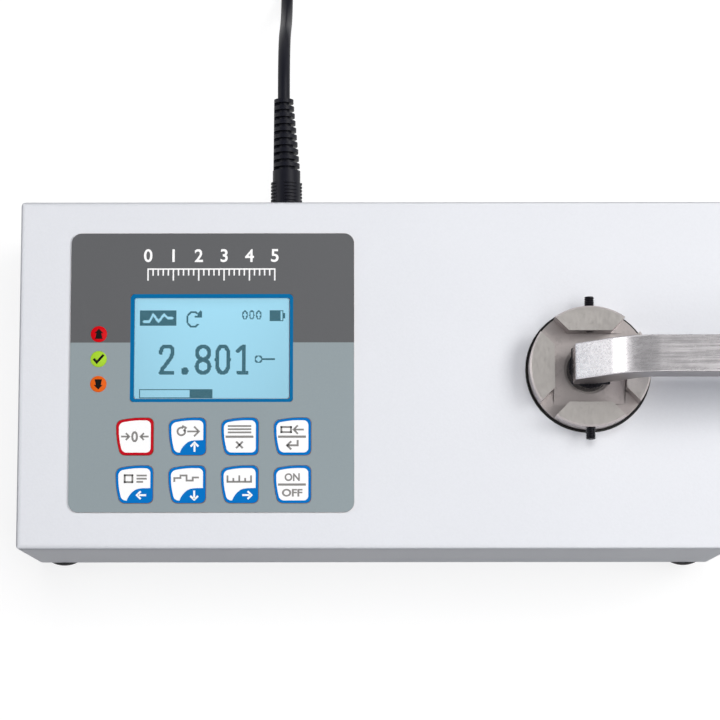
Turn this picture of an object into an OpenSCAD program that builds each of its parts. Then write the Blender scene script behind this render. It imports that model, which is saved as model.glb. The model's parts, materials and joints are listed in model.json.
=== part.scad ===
// Benchtop torque tester: a folded steel case with a display and membrane keys on the left,
// a milled four-jaw fixture on a torsion shaft on the right, and a plug-in cranked lever.
// The origin is the centre of the underside of the base plate, the front is -Y and up is +Z.

/* [Case] */
// Width of the case
case_w = 280; // [235:1:330]
// Depth of the case
case_d = 138; // [116:1:160]
// Height of the case from the underside of the base plate
case_h = 75; // [70:1:90]
// Thickness of the cover sheet
sheet_t = 1.5; // [1.2:0.1:2]
// Thickness of the base plate
base_t = 2; // [1.6:0.1:3]
// Outside radius of the folded edges
fold_r = 2.2; // [2.1:0.1:3]
// Height of the rubber feet
foot_h = 12; // [10:0.5:16]
// Diameter of the rubber feet
foot_d = 24; // [20:0.5:26]

/* [Panel] */
// Width of the printed overlay
panel_w = 111.6; // [110:0.2:114]
// Height of the printed overlay
panel_h = 110.5; // [109:0.5:114]
// Thickness of the overlay film
film_t = 0.6; // [0.5:0.05:0.9]
// Thickness of the key circuit under the film
circuit_t = 0.2; // [0.15:0.05:0.3]
// Width of a key
key_w = 14.8; // [13:0.1:16]
// Distance between key columns
key_pitch_x = 20.56; // [19:0.1:21]
// Distance between key rows
key_pitch_y = 18.8; // [17.5:0.1:19.5]
// How far a key moves when it is pressed
key_travel = 0.2; // [0.1:0.05:0.25]
// Width of the display window with its frame
window_w = 64; // [60:0.5:66]
// Height of the display window with its frame
window_h = 42.9; // [40:0.1:43.5]

/* [Fixture] */
// Diameter of the fixture head
head_d = 47.4; // [46:0.2:48]
// Height of the jaws above the case
jaw_rise = 12.5; // [11:0.5:14]
// Depth of the pocket between the jaws
pocket_depth = 9.5; // [8.5:0.5:10]
// Distance from the axis to the flat of a jaw
jaw_inset = 14; // [12:0.5:15]
// Width of the diagonal grooves between the jaws
groove_w = 8; // [6:0.5:9]
// Diameter of the clamping screws
screw_d = 4; // [3:0.5:4]
// Length of the clamping screws
screw_len = 14; // [12:0.5:15]

/* [Lever] */
// Width of the square bar of the lever
bar_w = 14.2; // [12:0.1:15]
// Distance from the axis to the free end of the lever
lever_reach = 110; // [90:5:160]
// Height of the arm's top face above the jaws
arm_rise = 35.2; // [30:0.1:40]
// Diameter of the lever's round neck
neck_d = 17; // [15:0.5:17.5]

/* [Lead] */
// Turns of the coil in its lower layer
coil_turns = 3; // [2:1:4]

/* [Hidden] */

// Clearances: between faces that move, between a pin and its hole, and round a piece that drops in
face_gap = 0.3;
pin_gap = 0.05;
drop_gap = 0.2;
// How far a cutting shape runs past the face that it cuts
overrun = 0.5;
smooth = 48;
arc_steps = 6;

// Levels
floor_z = -foot_h;
top_z = case_h;
ceiling_z = case_h - sheet_t;
film_z = case_h + circuit_t;
film_top_z = film_z + film_t;

// Feet and fasteners
foot_inset_x = 11;
foot_inset_y = 10.7;
foot_taper = 1.5;
foot_recess_d = 9.5;
foot_recess_depth = 7;
foot_edge_r = 1.2;
m4_d = 4;
m4_head_d = 8;
m4_head_h = 2.6;
m4_nut_w = 7;
m4_nut_h = 3.2;
m3_d = 3;
m3_head_d = 5.6;
m3_head_h = 1.8;
m5_d = 5;
m5_head_d = 8.5;
m5_head_h = 4;
recess_share = 0.5;
foot_places = [for (sx = [-1, 1], sy = [-1, 1])
    [sx * (case_w / 2 - foot_inset_x), sy * (case_d / 2 - foot_inset_y)]];

// Cover flanges with their screws, and the holes for fixing to a bench
flange_w = 14;
flange_relief = 24;
cover_screw_inset = 35;
cover_screw_y = case_d / 2 - cover_screw_inset;
cover_screw_len = 6;
bench_inset_x = 50;
bench_inset_y = 19;
bench_hole_d = 5.5;

// Overlay, display and indicators
panel_inset = 76.2;
panel_x = panel_inset - case_w / 2;
panel_y = 0.75;
panel_r = 4;
window_offset = [-0.2, 9.5];
window_x = panel_x + window_offset[0];
window_y = panel_y + window_offset[1];
window_r = 1.2;
frame_line_w = 1.4;
lcd_drop = 0.05;
glass_t = 1.8;
backlight_t = 3.4;
bezel_wall = 1.2;
lamp_offset = [-44.6, 5.1];
lamp_x = panel_x + lamp_offset[0];
lamp_y = panel_y + lamp_offset[1];
lamp_pitch = 9.9;
lamp_d = 6.5;
lamp_rise = 0.2;
led_d = 5;
led_rim_d = 5.8;
led_rim_h = 1;
led_hole_gap = 0.3;

// Keys: the outline's corners as shares of the key's width, each with the share of its radius
key_corner_shares = [[0.5, -0.5, 0.14], [0.5, 0.5, 0.15], [-0.5, 0.425, 0.18], [-0.385, -0.5, 0.17]];
key_bow_share = 0.02;
bow_steps = 4;
key_rise = 0.2;
key_skin_t = 0.3;
key_rest_gap = 0.05;
key_nib_d = 6;
contact_d = 5;
contact_t = 0.1;
key_offset = [-30.2, -25.45];
key_x = panel_x + key_offset[0];
key_y = panel_y + key_offset[1];

// Circuit tail and the boards
tail_w = 12;
tail_t = 0.4;
tail_offset = 51.75;
tail_y = panel_y - tail_offset;
slot_gap = 0.5;
board_t = 1.6;
display_board_depth = 13;
display_board_z = case_h - display_board_depth;
display_left = 49.2;
display_right = 45.8;
display_front = 18.75;
display_rear = 40.25;
display_board_x = [panel_x - display_left, panel_x + display_right];
display_board_y = [panel_y - display_front, panel_y + display_rear];
display_post_inset = 4;
display_post_d = 5;
display_bolt_len = 7;
main_board_z = 14;
board_inset = [22, 15, 27];
board_post_inset = 5;
board_post_d = 6;
board_bolt_len = 6;

// Parts on the main board: their places as shares of the room that the board leaves them
chip_size = [14, 14, 2];
chip_shares = [[0.17, 0.15], [0.5, 0.3], [0.54, 0.67], [0.17, 0.72]];
header_size = [6, 16, 6];
header_shares = [[0.94, 0.72], [0.03, 0.5], [0.73, 0.8]];
capacitors = 3;
capacitor_d = 8;
capacitor_h = 11;
capacitor_share = [0.78, 0.15];
capacitor_pitch = 12;

// Battery
cell_d = 14.5;
cell_len = 50;
cell_overlap = 0.3;
battery_inset = 41;
battery_gap = 2;
bracket_t = 1.2;
bracket_w = 16;
bracket_foot = 6;

// Transducer
axis_inset = 56;
axis_x = case_w / 2 - axis_inset;
axis_y = 1.4;
housing_flange_d = 72;
housing_flange_t = 8;
housing_rim_w = 9;
housing_wall = 5;
housing_d = housing_flange_d - 2 * housing_rim_w;
housing_bore_d = housing_d - 2 * housing_wall;
housing_depth = 23;
housing_top_z = case_h - housing_depth;
bearing_h = 8;
bearing_w = 7;
bearing_groove = 1;
bearing_lip_h = 3;
bearing_lip_w = 3;
journal_d = housing_bore_d - 2 * bearing_w;
journal_lead = 4;
shaft_foot_d = 24;
torsion_d = 16;
shaft_top_d = 28;
shaft_flange_d = 44;
shaft_flange_t = 8;
hub_depth = 9;
housing_bolt_r = (housing_flange_d - housing_rim_w) / 2;
head_bolt_r = 18;
head_bolt_len = 14;
gauge_size = [1, 6, 9];
gauge_z = 24;
cable_d = 3;
cable_z = 26;
cable_bend = 4;
gland_w = 6;
gland_d = 6;

// The battery stands against the transducer, and the main board fills the rest
battery_step = cell_d - cell_overlap;
battery_half = battery_step + cell_d / 2 + drop_gap;
battery_x = axis_x - housing_flange_d / 2 - battery_gap - battery_half - bracket_foot;
battery_y = battery_inset - case_d / 2;
main_board_x = [board_inset[0] - case_w / 2, battery_x - battery_half - bracket_foot - battery_gap];
main_board_y = [board_inset[1] - case_d / 2, case_d / 2 - board_inset[2]];

// Fixture head
hub_z = case_h - hub_depth;
jaw_z = case_h + jaw_rise;
pocket_z = jaw_z - pocket_depth;
counterbore_d = 19.5;
counterbore_depth = 3;
rim_chamfer = 0.7;
seal_gap = 0.3;
seal_w = 0.8;
seal_flange_w = 4;
seal_t = 1.2;
seal_drop = 0.2;
screw_z = jaw_z - pocket_depth / 2;
screw_tip_rear = 13.8;
screw_tip_front = 14.2;
socket_w = 2;
socket_depth = 2.5;

// Lever: heights of its underside and of the crank, over the level of the jaws
lever_sink = 1.2;
lever_foot_z = jaw_z - lever_sink;
root_rise = 13;
arm_top_z = jaw_z + arm_rise;
bar_h = 15;
crank_share = 0.84;
heel_share = 0.6;
crank_r = 24;
crank_in_r = 10;
root_r = 3;
heel_r = 0.6;
end_r = 3;
washer_t = 1.2;
washer_w = 15;
washer_d = 14.4;
neck_len = 16;

// Rear sockets, the plug and its strain relief
plug_x = -35.8;
socket_z = 38;
data_socket_d = 15.6;
data_socket_len = 20;
data_rim_d = 19;
data_rim_t = 1.5;
data_nut_d = 21;
data_nut_t = 3.2;
plug_shell_d = 11.8;
plug_shell_len = 11;
plug_shell_t = 0.8;
contact_pin_d = 1;
contact_pin_r = 3.2;
contact_pins = 6;
jack_x = 8;
jack_d = 8;
jack_len = 16;
jack_rim_d = 11;
jack_bore_d = 5.5;
jack_pin_d = 2;
plug_d = 12.8;
grip_len = 13.5;
grip_core_d = 11.6;
grip_ribs = 10;
grip_rib_len = 0.7;
grip_patches = 4;
grip_patch_w = 5.2;
grip_turn = -71;
collar_d = 11.3;
collar_len = 5;
relief_len = 30;
relief_end_d = 8;
relief_slits = 10;
relief_slit_len = 1.4;
relief_slit_depth = 1.8;
relief_spine_w = 2;
relief_lean = 1.2;
relief_start_d = 10.8;

// Lead: the hand-chosen route of each free stretch
cord_d = 5;
lead_route = [[-37, 119, 38], [-37, 124, 38], [-37, 130, 37.5], [-37, 137, 35.5], [-37, 143, 32],
    [-37, 148, 27], [-37, 152, 21], [-37, 155.5, 14.5], [-37, 159, 8], [-37, 163, 2],
    [-37, 168, -3.5], [-37, 174, -7.5], [-37, 182, -9.3], [-37, 191, -9.5], [-37, 200, -9.4],
    [-37, 209, -8.9], [-37, 213, -8.6], [-37, 217, -8.6]];
tail_route = [[-39.8, 227, -3.1], [-40, 232, -3.1], [-39.5, 239, -3.8], [-37.5, 246, -5.5],
    [-34, 252.5, -7.5], [-29, 258, -9], [-22.5, 262.5, -9.5], [-15, 265.5, -9.5],
    [-8, 267, -9.2], [-2, 267.5, -8.5], [3, 267.5, -8.5], [8, 267.5, -8.5]];
lead_shift = [plug_x - relief_lean - lead_route[0][0], case_d / 2 + data_rim_t + grip_len
    + collar_len + relief_len - lead_route[0][1], 0];
lead_sides = 8;
steep_share = 0.98;
coil_sides = 6;
coil_rings = 24;
coil_x = 0;
coil_y = 222;
coil_inner_r = 20.2;
coil_pitch = 5.6;
layer_pitch = 5.5;
coil_z = -8.6;
tie_t = 0.6;
tie_w = 8;
tie_gap = 0.3;
tie_r = 2.4;
usb_len = 27;
usb_w = 15.5;
usb_h = 7;
usb_r = 1.5;
usb_neck_len = 8;
usb_neck_d = 6.8;
usb_shell_w = 12;
usb_shell_h = 4.5;
usb_shell_len = 12;
usb_shell_t = 0.4;
usb_tongue_t = 1.8;

// Finishes, as the object shows them
white_paint = [0.89, 0.9, 0.92];
zinc = [0.72, 0.74, 0.77];
steel = [0.76, 0.75, 0.74];
aluminium = [0.74, 0.73, 0.74];
brass = [0.8, 0.66, 0.32];
black = [0.07, 0.07, 0.08];
cord_black = [0.11, 0.12, 0.16];
panel_grey = [0.55, 0.6, 0.62];
lcd_blue = [0.58, 0.8, 0.88];
key_white = [0.97, 0.97, 0.97];
board_green = [0.08, 0.33, 0.2];

// Straight shapes with rounded corners
module round_rect(w, h, r) {
    square([w - 2 * r, h], center = true);
    square([w, h - 2 * r], center = true);
    for (sx = [-1, 1], sy = [-1, 1])
        translate([sx * (w / 2 - r), sy * (h / 2 - r)]) circle(r, $fn = smooth);
}
module round_slab(w, h, r, t) {
    linear_extrude(t) round_rect(w, h, r);
}
module span_box(xs, ys, z, t) {
    translate([xs[0], ys[0], z]) cube([xs[1] - xs[0], ys[1] - ys[0], t]);
}
module rod(d, len) {
    cylinder(d = d, h = len, $fn = smooth);
}
module along_y() {
    rotate([-90, 0, 0]) children();
}
module hex_prism(w, h) {
    cylinder(r = w / sqrt(3), h = h, $fn = 6);
}
// A block with its four upright corners and its top edges folded round at one radius
module folded_block(w, d, h, r) {
    intersection() {
        round_slab(w, d, r, h);
        rotate([90, 0, 0]) linear_extrude(d, center = true) top_profile(w, h, r);
        rotate([90, 0, 90]) linear_extrude(w, center = true) top_profile(d, h, r);
    }
}
module top_profile(w, h, r) {
    translate([-w / 2, 0]) square([w, h - r]);
    translate([-w / 2 + r, 0]) square([w - 2 * r, h]);
    for (s = [-1, 1])
        translate([s * (w / 2 - r), h - r]) circle(r, $fn = smooth);
}

// A pan-head screw with its head below the face at z = 0 and its shank going up
module screw_up(d, head_d, head_h, len) {
    rod(d, len);
    difference() {
        translate([0, 0, -head_h]) rod(head_d, head_h);
        translate([0, 0, -head_h - overrun])
            cylinder(r = d * recess_share, h = overrun + head_h * recess_share, $fn = 6);
    }
}
module screw_down(d, head_d, head_h, len) {
    mirror([0, 0, 1]) screw_up(d, head_d, head_h, len);
}

// Outline points: a corner rounded by an arc, and a straight run that bows out
function unit(v) = v / norm(v);
function turn_left(v) = [-v[1], v[0]];
function corner_arc(before, at, after, r) =
    let (a = unit(before - at), b = unit(after - at), half = acos(a * b) / 2,
        centre = at + unit(a + b) * r / sin(half), side = cross(a, b) > 0 ? 1 : -1,
        from = at + a * r / tan(half) - centre, sweep = 180 - 2 * half)
    [for (i = [0:arc_steps]) let (t = -side * sweep * i / arc_steps)
        centre + [from[0] * cos(t) - from[1] * sin(t), from[0] * sin(t) + from[1] * cos(t)]];
function rounded(points, radii) = let (n = len(points))
    [for (i = [0:n - 1]) each corner_arc(points[(i + n - 1) % n], points[i],
        points[(i + 1) % n], radii[i])];
function bowed(a, b, bow) = let (out = -turn_left(unit(b - a)))
    [for (i = [1:bow_steps - 1]) let (t = i / bow_steps) a + (b - a) * t + out * bow * sin(180 * t)];
function key_outline(grow) = let (w = key_w + 2 * grow, n = len(key_corner_shares),
        at = [for (c = key_corner_shares) [c[0], c[1]] * w],
        arcs = [for (i = [0:n - 1]) corner_arc(at[(i + n - 1) % n], at[i], at[(i + 1) % n],
            key_corner_shares[i][2] * w)])
    [for (i = [0:n - 1]) each concat(arcs[i], i == 1 || i == 2
        ? bowed(arcs[i][arc_steps], arcs[(i + 1) % n][0], key_bow_share * w) : [])];

// Tubes: one unbroken polyhedron along a list of points
function tangent(path, i) =
    unit(path[min(i + 1, len(path) - 1)] - path[max(i - 1, 0)]);
function ring(path, i, r, sides) = let (t = tangent(path, i),
        level = unit(cross(t, abs(t[2]) > steep_share ? [0, -1, 0] : [0, 0, 1])),
        rise = cross(level, t))
    [for (k = [0:sides - 1]) let (a = 360 * (k + 0.5) / sides)
        path[i] + r * (cos(a) * level + sin(a) * rise)];
module tube(path, d, sides) {
    rings = len(path);
    polyhedron(points = [for (i = [0:rings - 1]) each ring(path, i, d / 2, sides)],
        faces = concat([[for (k = [0:sides - 1]) k]],
            [for (i = [0:rings - 2], k = [0:sides - 1])
                let (a = i * sides + k, b = i * sides + (k + 1) % sides)
                each [[a, a + sides, b], [b, a + sides, b + sides]]],
            [[for (k = [sides - 1:-1:0]) (rings - 1) * sides + k]]));
}

// Coil: in on the lower layer, up a layer in part of a turn, and out on the upper layer
climb_turns = 0.5;
coil_total = 2 * (coil_turns + climb_turns);
function coil_r(t) = coil_inner_r + coil_pitch * (t < coil_turns + climb_turns / 2 ? coil_turns - t
    : t - coil_turns - climb_turns);
function coil_height(t) = coil_z + layer_pitch * min(1, max(0, (t - coil_turns) / climb_turns));
function coil_point(t) = [coil_x - coil_r(t) * cos(360 * t), coil_y + coil_r(t) * sin(360 * t),
    coil_height(t)];
coil_middle = [for (i = [0:coil_total * coil_rings]) coil_point(i / coil_rings)];
coil_path = concat([coil_middle[0] - [0, cord_d, 0]], coil_middle,
    [coil_middle[len(coil_middle) - 1] + [0, cord_d, 0]]);
coil_gap = min([for (i = [0:len(coil_path) - 2], j = [i + coil_rings / 2:1:len(coil_path) - 1])
    norm(coil_path[i] - coil_path[j])]) - cord_d;
echo("least gap of the coil to itself, mm", coil_gap);

// Case
module top_cover() {
    color(white_paint) difference() {
        union() {
            difference() {
                folded_block(case_w, case_d, case_h, fold_r);
                translate([0, 0, -overrun])
                    folded_block(case_w - 2 * sheet_t, case_d - 2 * sheet_t,
                        ceiling_z + overrun, fold_r - sheet_t);
            }
            for (s = [-1, 1])
                translate([s * (case_w / 2 - sheet_t - flange_w / 2), 0, base_t + sheet_t / 2])
                    cube([flange_w + sheet_t, case_d - 2 * sheet_t - 2 * flange_relief, sheet_t],
                        center = true);
        }
        window_block(-face_gap, ceiling_z - overrun, sheet_t + 2 * overrun);
        translate([window_x, tail_y, ceiling_z - overrun])
            translate([-tail_w / 2 - slot_gap, -tail_t / 2 - slot_gap, 0])
                cube([tail_w + 2 * slot_gap, tail_t + 2 * slot_gap, sheet_t + 2 * overrun]);
        lamp_spots() translate([0, 0, ceiling_z - overrun])
            rod(led_d + 2 * led_hole_gap, sheet_t + 2 * overrun);
        translate([axis_x, axis_y, ceiling_z - overrun])
            rod(head_d + 2 * seal_gap + 2 * seal_w, sheet_t + 2 * overrun);
        rear_hole(plug_x, data_socket_d);
        rear_hole(jack_x, jack_d);
        for (sx = [-1, 1], sy = [-1, 1])
            translate([sx * (case_w / 2 - sheet_t - flange_w / 2), sy * cover_screw_y, base_t - overrun])
                rod(m3_d + 2 * pin_gap, sheet_t + 2 * overrun);
    }
}
module rear_hole(x, d) {
    translate([x, case_d / 2 - sheet_t - overrun, socket_z])
        along_y() rod(d + 2 * pin_gap, sheet_t + 2 * overrun);
}
module base_plate() {
    color(zinc) difference() {
        round_slab(case_w - 2 * sheet_t - 2 * drop_gap, case_d - 2 * sheet_t - 2 * drop_gap,
            fold_r, base_t);
        for (p = foot_places) plate_hole(p, m4_d);
        for (sx = [-1, 1], sy = [-1, 1]) {
            plate_hole([sx * (case_w / 2 - bench_inset_x), sy * (case_d / 2 - bench_inset_y)],
                bench_hole_d - 2 * pin_gap);
            plate_hole([sx * (case_w / 2 - sheet_t - flange_w / 2), sy * cover_screw_y], m3_d);
        }
        for (a = [45:90:315]) plate_hole([axis_x + housing_bolt_r * cos(a),
            axis_y + housing_bolt_r * sin(a)], m5_d);
    }
}
module plate_hole(at, d) {
    translate([at[0], at[1], -overrun]) rod(d + 2 * pin_gap, base_t + 2 * overrun);
}

// Feet
module foot(at) {
    color(black) translate([at[0], at[1], floor_z]) difference() {
        rotate_extrude($fn = smooth) polygon([[0, 0], [foot_d / 2 - foot_taper - foot_edge_r, 0],
            [foot_d / 2 - foot_taper, foot_edge_r], [foot_d / 2, foot_h - foot_edge_r],
            [foot_d / 2 - foot_edge_r, foot_h], [0, foot_h]]);
        translate([0, 0, -overrun]) rod(foot_recess_d, foot_recess_depth + overrun);
        rod(m4_d + 2 * pin_gap, foot_h + overrun);
    }
}
module foot_front_left() { foot(foot_places[0]); }
module foot_rear_left() { foot(foot_places[1]); }
module foot_front_right() { foot(foot_places[2]); }
module foot_rear_right() { foot(foot_places[3]); }
module foot_screws() {
    shoulder = foot_h - foot_recess_depth;
    color(zinc) for (p = foot_places) translate([p[0], p[1], -shoulder])
        screw_up(m4_d, m4_head_d, m4_head_h, shoulder + base_t + m4_nut_h);
}
module foot_nuts() {
    color(zinc) for (p = foot_places) translate([p[0], p[1], base_t]) difference() {
        hex_prism(m4_nut_w, m4_nut_h);
        translate([0, 0, -overrun]) rod(m4_d + 2 * pin_gap, m4_nut_h + 2 * overrun);
    }
}
module cover_screws() {
    color(zinc) for (sx = [-1, 1], sy = [-1, 1])
        translate([sx * (case_w / 2 - sheet_t - flange_w / 2), sy * cover_screw_y, 0])
            screw_up(m3_d, m3_head_d, m3_head_h, cover_screw_len);
}

// Panel
module panel_place(z) {
    translate([panel_x, panel_y, z]) children();
}
module window_block(grow, z, t) {
    translate([window_x, window_y, z])
        round_slab(window_w - 2 * frame_line_w + 2 * grow + 2 * face_gap,
            window_h - 2 * frame_line_w + 2 * grow + 2 * face_gap, window_r, t);
}
module lamp_spots() {
    for (i = [-1:1]) translate([lamp_x, lamp_y + i * lamp_pitch, 0]) children();
}
module key_spots() {
    for (row = [0, 1], column = [0:3])
        translate([key_x + column * key_pitch_x, key_y - row * key_pitch_y, 0]) children();
}
module panel_overlay() {
    color(panel_grey) difference() {
        panel_place(film_z) round_slab(panel_w, panel_h, panel_r, film_t);
        translate([window_x, window_y, film_z - overrun])
            round_slab(window_w, window_h, window_r, film_t + 2 * overrun);
        lamp_spots() translate([0, 0, film_z - overrun])
            rod(lamp_d, film_t + 2 * overrun);
        key_spots() translate([0, 0, film_z - overrun])
            linear_extrude(film_t + 2 * overrun) polygon(key_outline(drop_gap));
    }
}
module key_circuit() {
    color(black) difference() {
        panel_place(top_z) round_slab(panel_w, panel_h, panel_r, circuit_t);
        window_block(-face_gap, top_z - overrun, circuit_t + 2 * overrun);
        lamp_spots() translate([0, 0, top_z - overrun])
            rod(led_d + 2 * led_hole_gap, circuit_t + 2 * overrun);
    }
}
module key_contacts() {
    color(brass) key_spots() translate([0, 0, film_z]) rod(contact_d, contact_t);
}
module keypad_tail() {
    low_z = display_board_z + board_t;
    color([0.75, 0.45, 0.15]) translate([window_x - tail_w / 2, 0, 0]) {
        translate([0, tail_y - tail_t / 2, low_z]) cube([tail_w, tail_t, top_z - low_z]);
        translate([0, tail_y - tail_t / 2, low_z])
            cube([tail_w, display_board_y[0] + display_post_inset - tail_y, tail_t]);
    }
}
module display_window() {
    color([0.8, 0.93, 0.97], 0.4) translate([window_x, window_y, film_z])
        round_slab(window_w, window_h, window_r, film_t);
}
module lcd_slab(grow, z, t) {
    translate([window_x, window_y, z + t / 2])
        cube([window_w - 2 * frame_line_w + 2 * grow, window_h - 2 * frame_line_w + 2 * grow, t],
            center = true);
}
lcd_top_z = top_z + circuit_t - lcd_drop;
module lcd_glass() {
    color(lcd_blue) intersection() {
        lcd_slab(0, lcd_top_z - glass_t, glass_t);
        window_block(-face_gap - drop_gap, lcd_top_z - glass_t - overrun, glass_t + 2 * overrun);
    }
}
module lcd_backlight() {
    color(key_white) lcd_slab(-drop_gap, lcd_top_z - glass_t - backlight_t, backlight_t);
}
module lcd_bezel() {
    foot_z = display_board_z + board_t;
    color(zinc) difference() {
        lcd_slab(bezel_wall, foot_z, ceiling_z - drop_gap - foot_z);
        lcd_slab(0, foot_z + bezel_wall, ceiling_z - foot_z);
    }
}
module display_board() {
    color(board_green) difference() {
        span_box(display_board_x, display_board_y, display_board_z, board_t);
        display_posts() translate([0, 0, display_board_z - overrun])
            rod(m3_d + 2 * pin_gap, board_t + 2 * overrun);
    }
}
module display_posts() {
    for (i = [0, 1], j = [0, 1])
        translate([display_board_x[i] + (1 - 2 * i) * display_post_inset,
            display_board_y[j] + (1 - 2 * j) * display_post_inset, 0]) children();
}
module display_standoffs() {
    foot_z = display_board_z + board_t;
    color(brass) display_posts() translate([0, 0, foot_z]) difference() {
        rod(display_post_d, ceiling_z - foot_z);
        translate([0, 0, -overrun]) rod(m3_d + 2 * pin_gap, display_bolt_len);
    }
}
module display_screws() {
    color(zinc) display_posts() translate([0, 0, display_board_z])
        screw_up(m3_d, m3_head_d, m3_head_h, display_bolt_len);
}
module indicator(i) {
    translate([lamp_x, lamp_y + i * lamp_pitch, film_z]) rod(lamp_d, film_t + lamp_rise);
}
module indicator_high() { color([0.84, 0.03, 0.1]) indicator(1); }
module indicator_ok() { color([0.6, 0.76, 0.12]) indicator(0); }
module indicator_low() { color([0.88, 0.39, 0.1]) indicator(-1); }
module indicator_leds() {
    foot_z = display_board_z + board_t;
    color([0.9, 0.9, 0.85]) lamp_spots() translate([0, 0, foot_z]) {
        rod(led_rim_d, led_rim_h);
        rod(led_d, top_z - foot_z - led_d / 2);
        translate([0, 0, top_z - foot_z - led_d / 2]) sphere(d = led_d, $fn = smooth);
    }
}

// Keys
module key(column, row) {
    nib_z = film_z + contact_t + key_travel + key_rest_gap;
    skin_z = film_top_z + key_rise - key_skin_t;
    color(key_white) translate([key_x + column * key_pitch_x, key_y - row * key_pitch_y, 0]) {
        translate([0, 0, nib_z]) rod(key_nib_d, skin_z + key_skin_t / 2 - nib_z);
        translate([0, 0, skin_z]) linear_extrude(key_skin_t) polygon(key_outline(0));
    }
}
module key_zero() { key(0, 0); }
module key_up() { key(1, 0); }
module key_menu() { key(2, 0); }
module key_enter() { key(3, 0); }
module key_left() { key(0, 1); }
module key_down() { key(1, 1); }
module key_right() { key(2, 1); }
module key_power() { key(3, 1); }

// Electronics
module board_posts() {
    for (i = [0, 1], j = [0, 1])
        translate([main_board_x[i] + (1 - 2 * i) * board_post_inset,
            main_board_y[j] + (1 - 2 * j) * board_post_inset, 0]) children();
}
module main_board() {
    color(board_green) difference() {
        span_box(main_board_x, main_board_y, main_board_z, board_t);
        board_posts() translate([0, 0, main_board_z - overrun])
            rod(m3_d + 2 * pin_gap, board_t + 2 * overrun);
    }
}
function board_place(share, size) = [
    main_board_x[0] + share[0] * (main_board_x[1] - main_board_x[0] - size[0]),
    main_board_y[0] + share[1] * (main_board_y[1] - main_board_y[0] - size[1]), 0];
module board_components() {
    color([0.12, 0.12, 0.13]) translate([0, 0, main_board_z + board_t]) {
        for (c = chip_shares) translate(board_place(c, chip_size)) cube(chip_size);
        for (c = header_shares) translate(board_place(c, header_size)) cube(header_size);
        for (c = [0:capacitors - 1])
            translate(board_place(capacitor_share, [0, 0]) + [0, c * capacitor_pitch, 0])
                rod(capacitor_d, capacitor_h);
    }
}
module board_standoffs() {
    color(brass) board_posts() translate([0, 0, base_t]) difference() {
        rod(board_post_d, main_board_z - base_t);
        translate([0, 0, main_board_z - base_t - board_bolt_len])
            rod(m3_d + 2 * pin_gap, board_bolt_len + overrun);
    }
}
module board_screws() {
    color(zinc) board_posts() translate([0, 0, main_board_z + board_t])
        screw_down(m3_d, m3_head_d, m3_head_h, board_bolt_len);
}
module battery_pack() {
    color([0.16, 0.35, 0.6]) for (i = [-1:1], k = [0, 1])
        translate([battery_x + i * battery_step, battery_y - cell_len / 2,
            base_t + cell_d / 2 + k * battery_step]) along_y() rod(cell_d, cell_len);
}
module battery_bracket() {
    half = battery_half;
    high = battery_step + cell_d + drop_gap;
    color(zinc) translate([battery_x, battery_y, base_t]) difference() {
        union() {
            translate([-half - bracket_t, -bracket_w / 2, 0])
                cube([2 * half + 2 * bracket_t, bracket_w, high + bracket_t]);
            translate([-half - bracket_foot, -bracket_w / 2, 0])
                cube([2 * half + 2 * bracket_foot, bracket_w, bracket_t]);
        }
        translate([-half, -bracket_w / 2 - overrun, -overrun])
            cube([2 * half, bracket_w + 2 * overrun, high + overrun]);
    }
}

// Transducer
module at_axis(z) {
    translate([axis_x, axis_y, z]) children();
}
module transducer_housing() {
    color(aluminium) at_axis(base_t) difference() {
        union() {
            rod(housing_flange_d, housing_flange_t);
            rod(housing_d, housing_top_z - base_t);
        }
        translate([0, 0, housing_flange_t])
            rod(housing_bore_d - 2 * bearing_lip_w, housing_top_z);
        translate([0, 0, housing_top_z - base_t - bearing_h]) rod(housing_bore_d, housing_top_z);
        translate([0, 0, housing_flange_t])
            rod(housing_bore_d, housing_top_z - base_t - bearing_h - bearing_lip_h - housing_flange_t);
        translate([0, 0, face_gap]) rod(shaft_foot_d + 2 * pin_gap, housing_flange_t + overrun);
        for (a = [45:90:315]) translate([housing_bolt_r * cos(a), housing_bolt_r * sin(a), -overrun])
            rod(m5_d + 2 * pin_gap, housing_flange_t + 2 * overrun);
        translate([0, housing_bore_d / 2 - overrun - bearing_lip_w, cable_z - base_t])
            along_y() rod(gland_d, housing_d);
    }
}
module transducer_screws() {
    color(zinc) at_axis(base_t + housing_flange_t) for (a = [45:90:315])
        translate([housing_bolt_r * cos(a), housing_bolt_r * sin(a), 0])
            screw_down(m5_d, m5_head_d, m5_head_h, housing_flange_t + base_t);
}
module shaft_bearing() {
    outer = housing_bore_d / 2;
    inner = journal_d / 2 + pin_gap;
    mid = (outer + inner) / 2;
    groove = bearing_groove;
    color(steel) at_axis(housing_top_z - bearing_h) rotate_extrude($fn = smooth)
        polygon([[inner, 0], [mid - groove, 0], [mid - groove, groove], [mid + groove, groove],
            [mid + groove, 0], [outer, 0], [outer, bearing_h], [mid + groove, bearing_h],
            [mid + groove, bearing_h - groove], [mid - groove, bearing_h - groove],
            [mid - groove, bearing_h], [inner, bearing_h]]);
}
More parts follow.
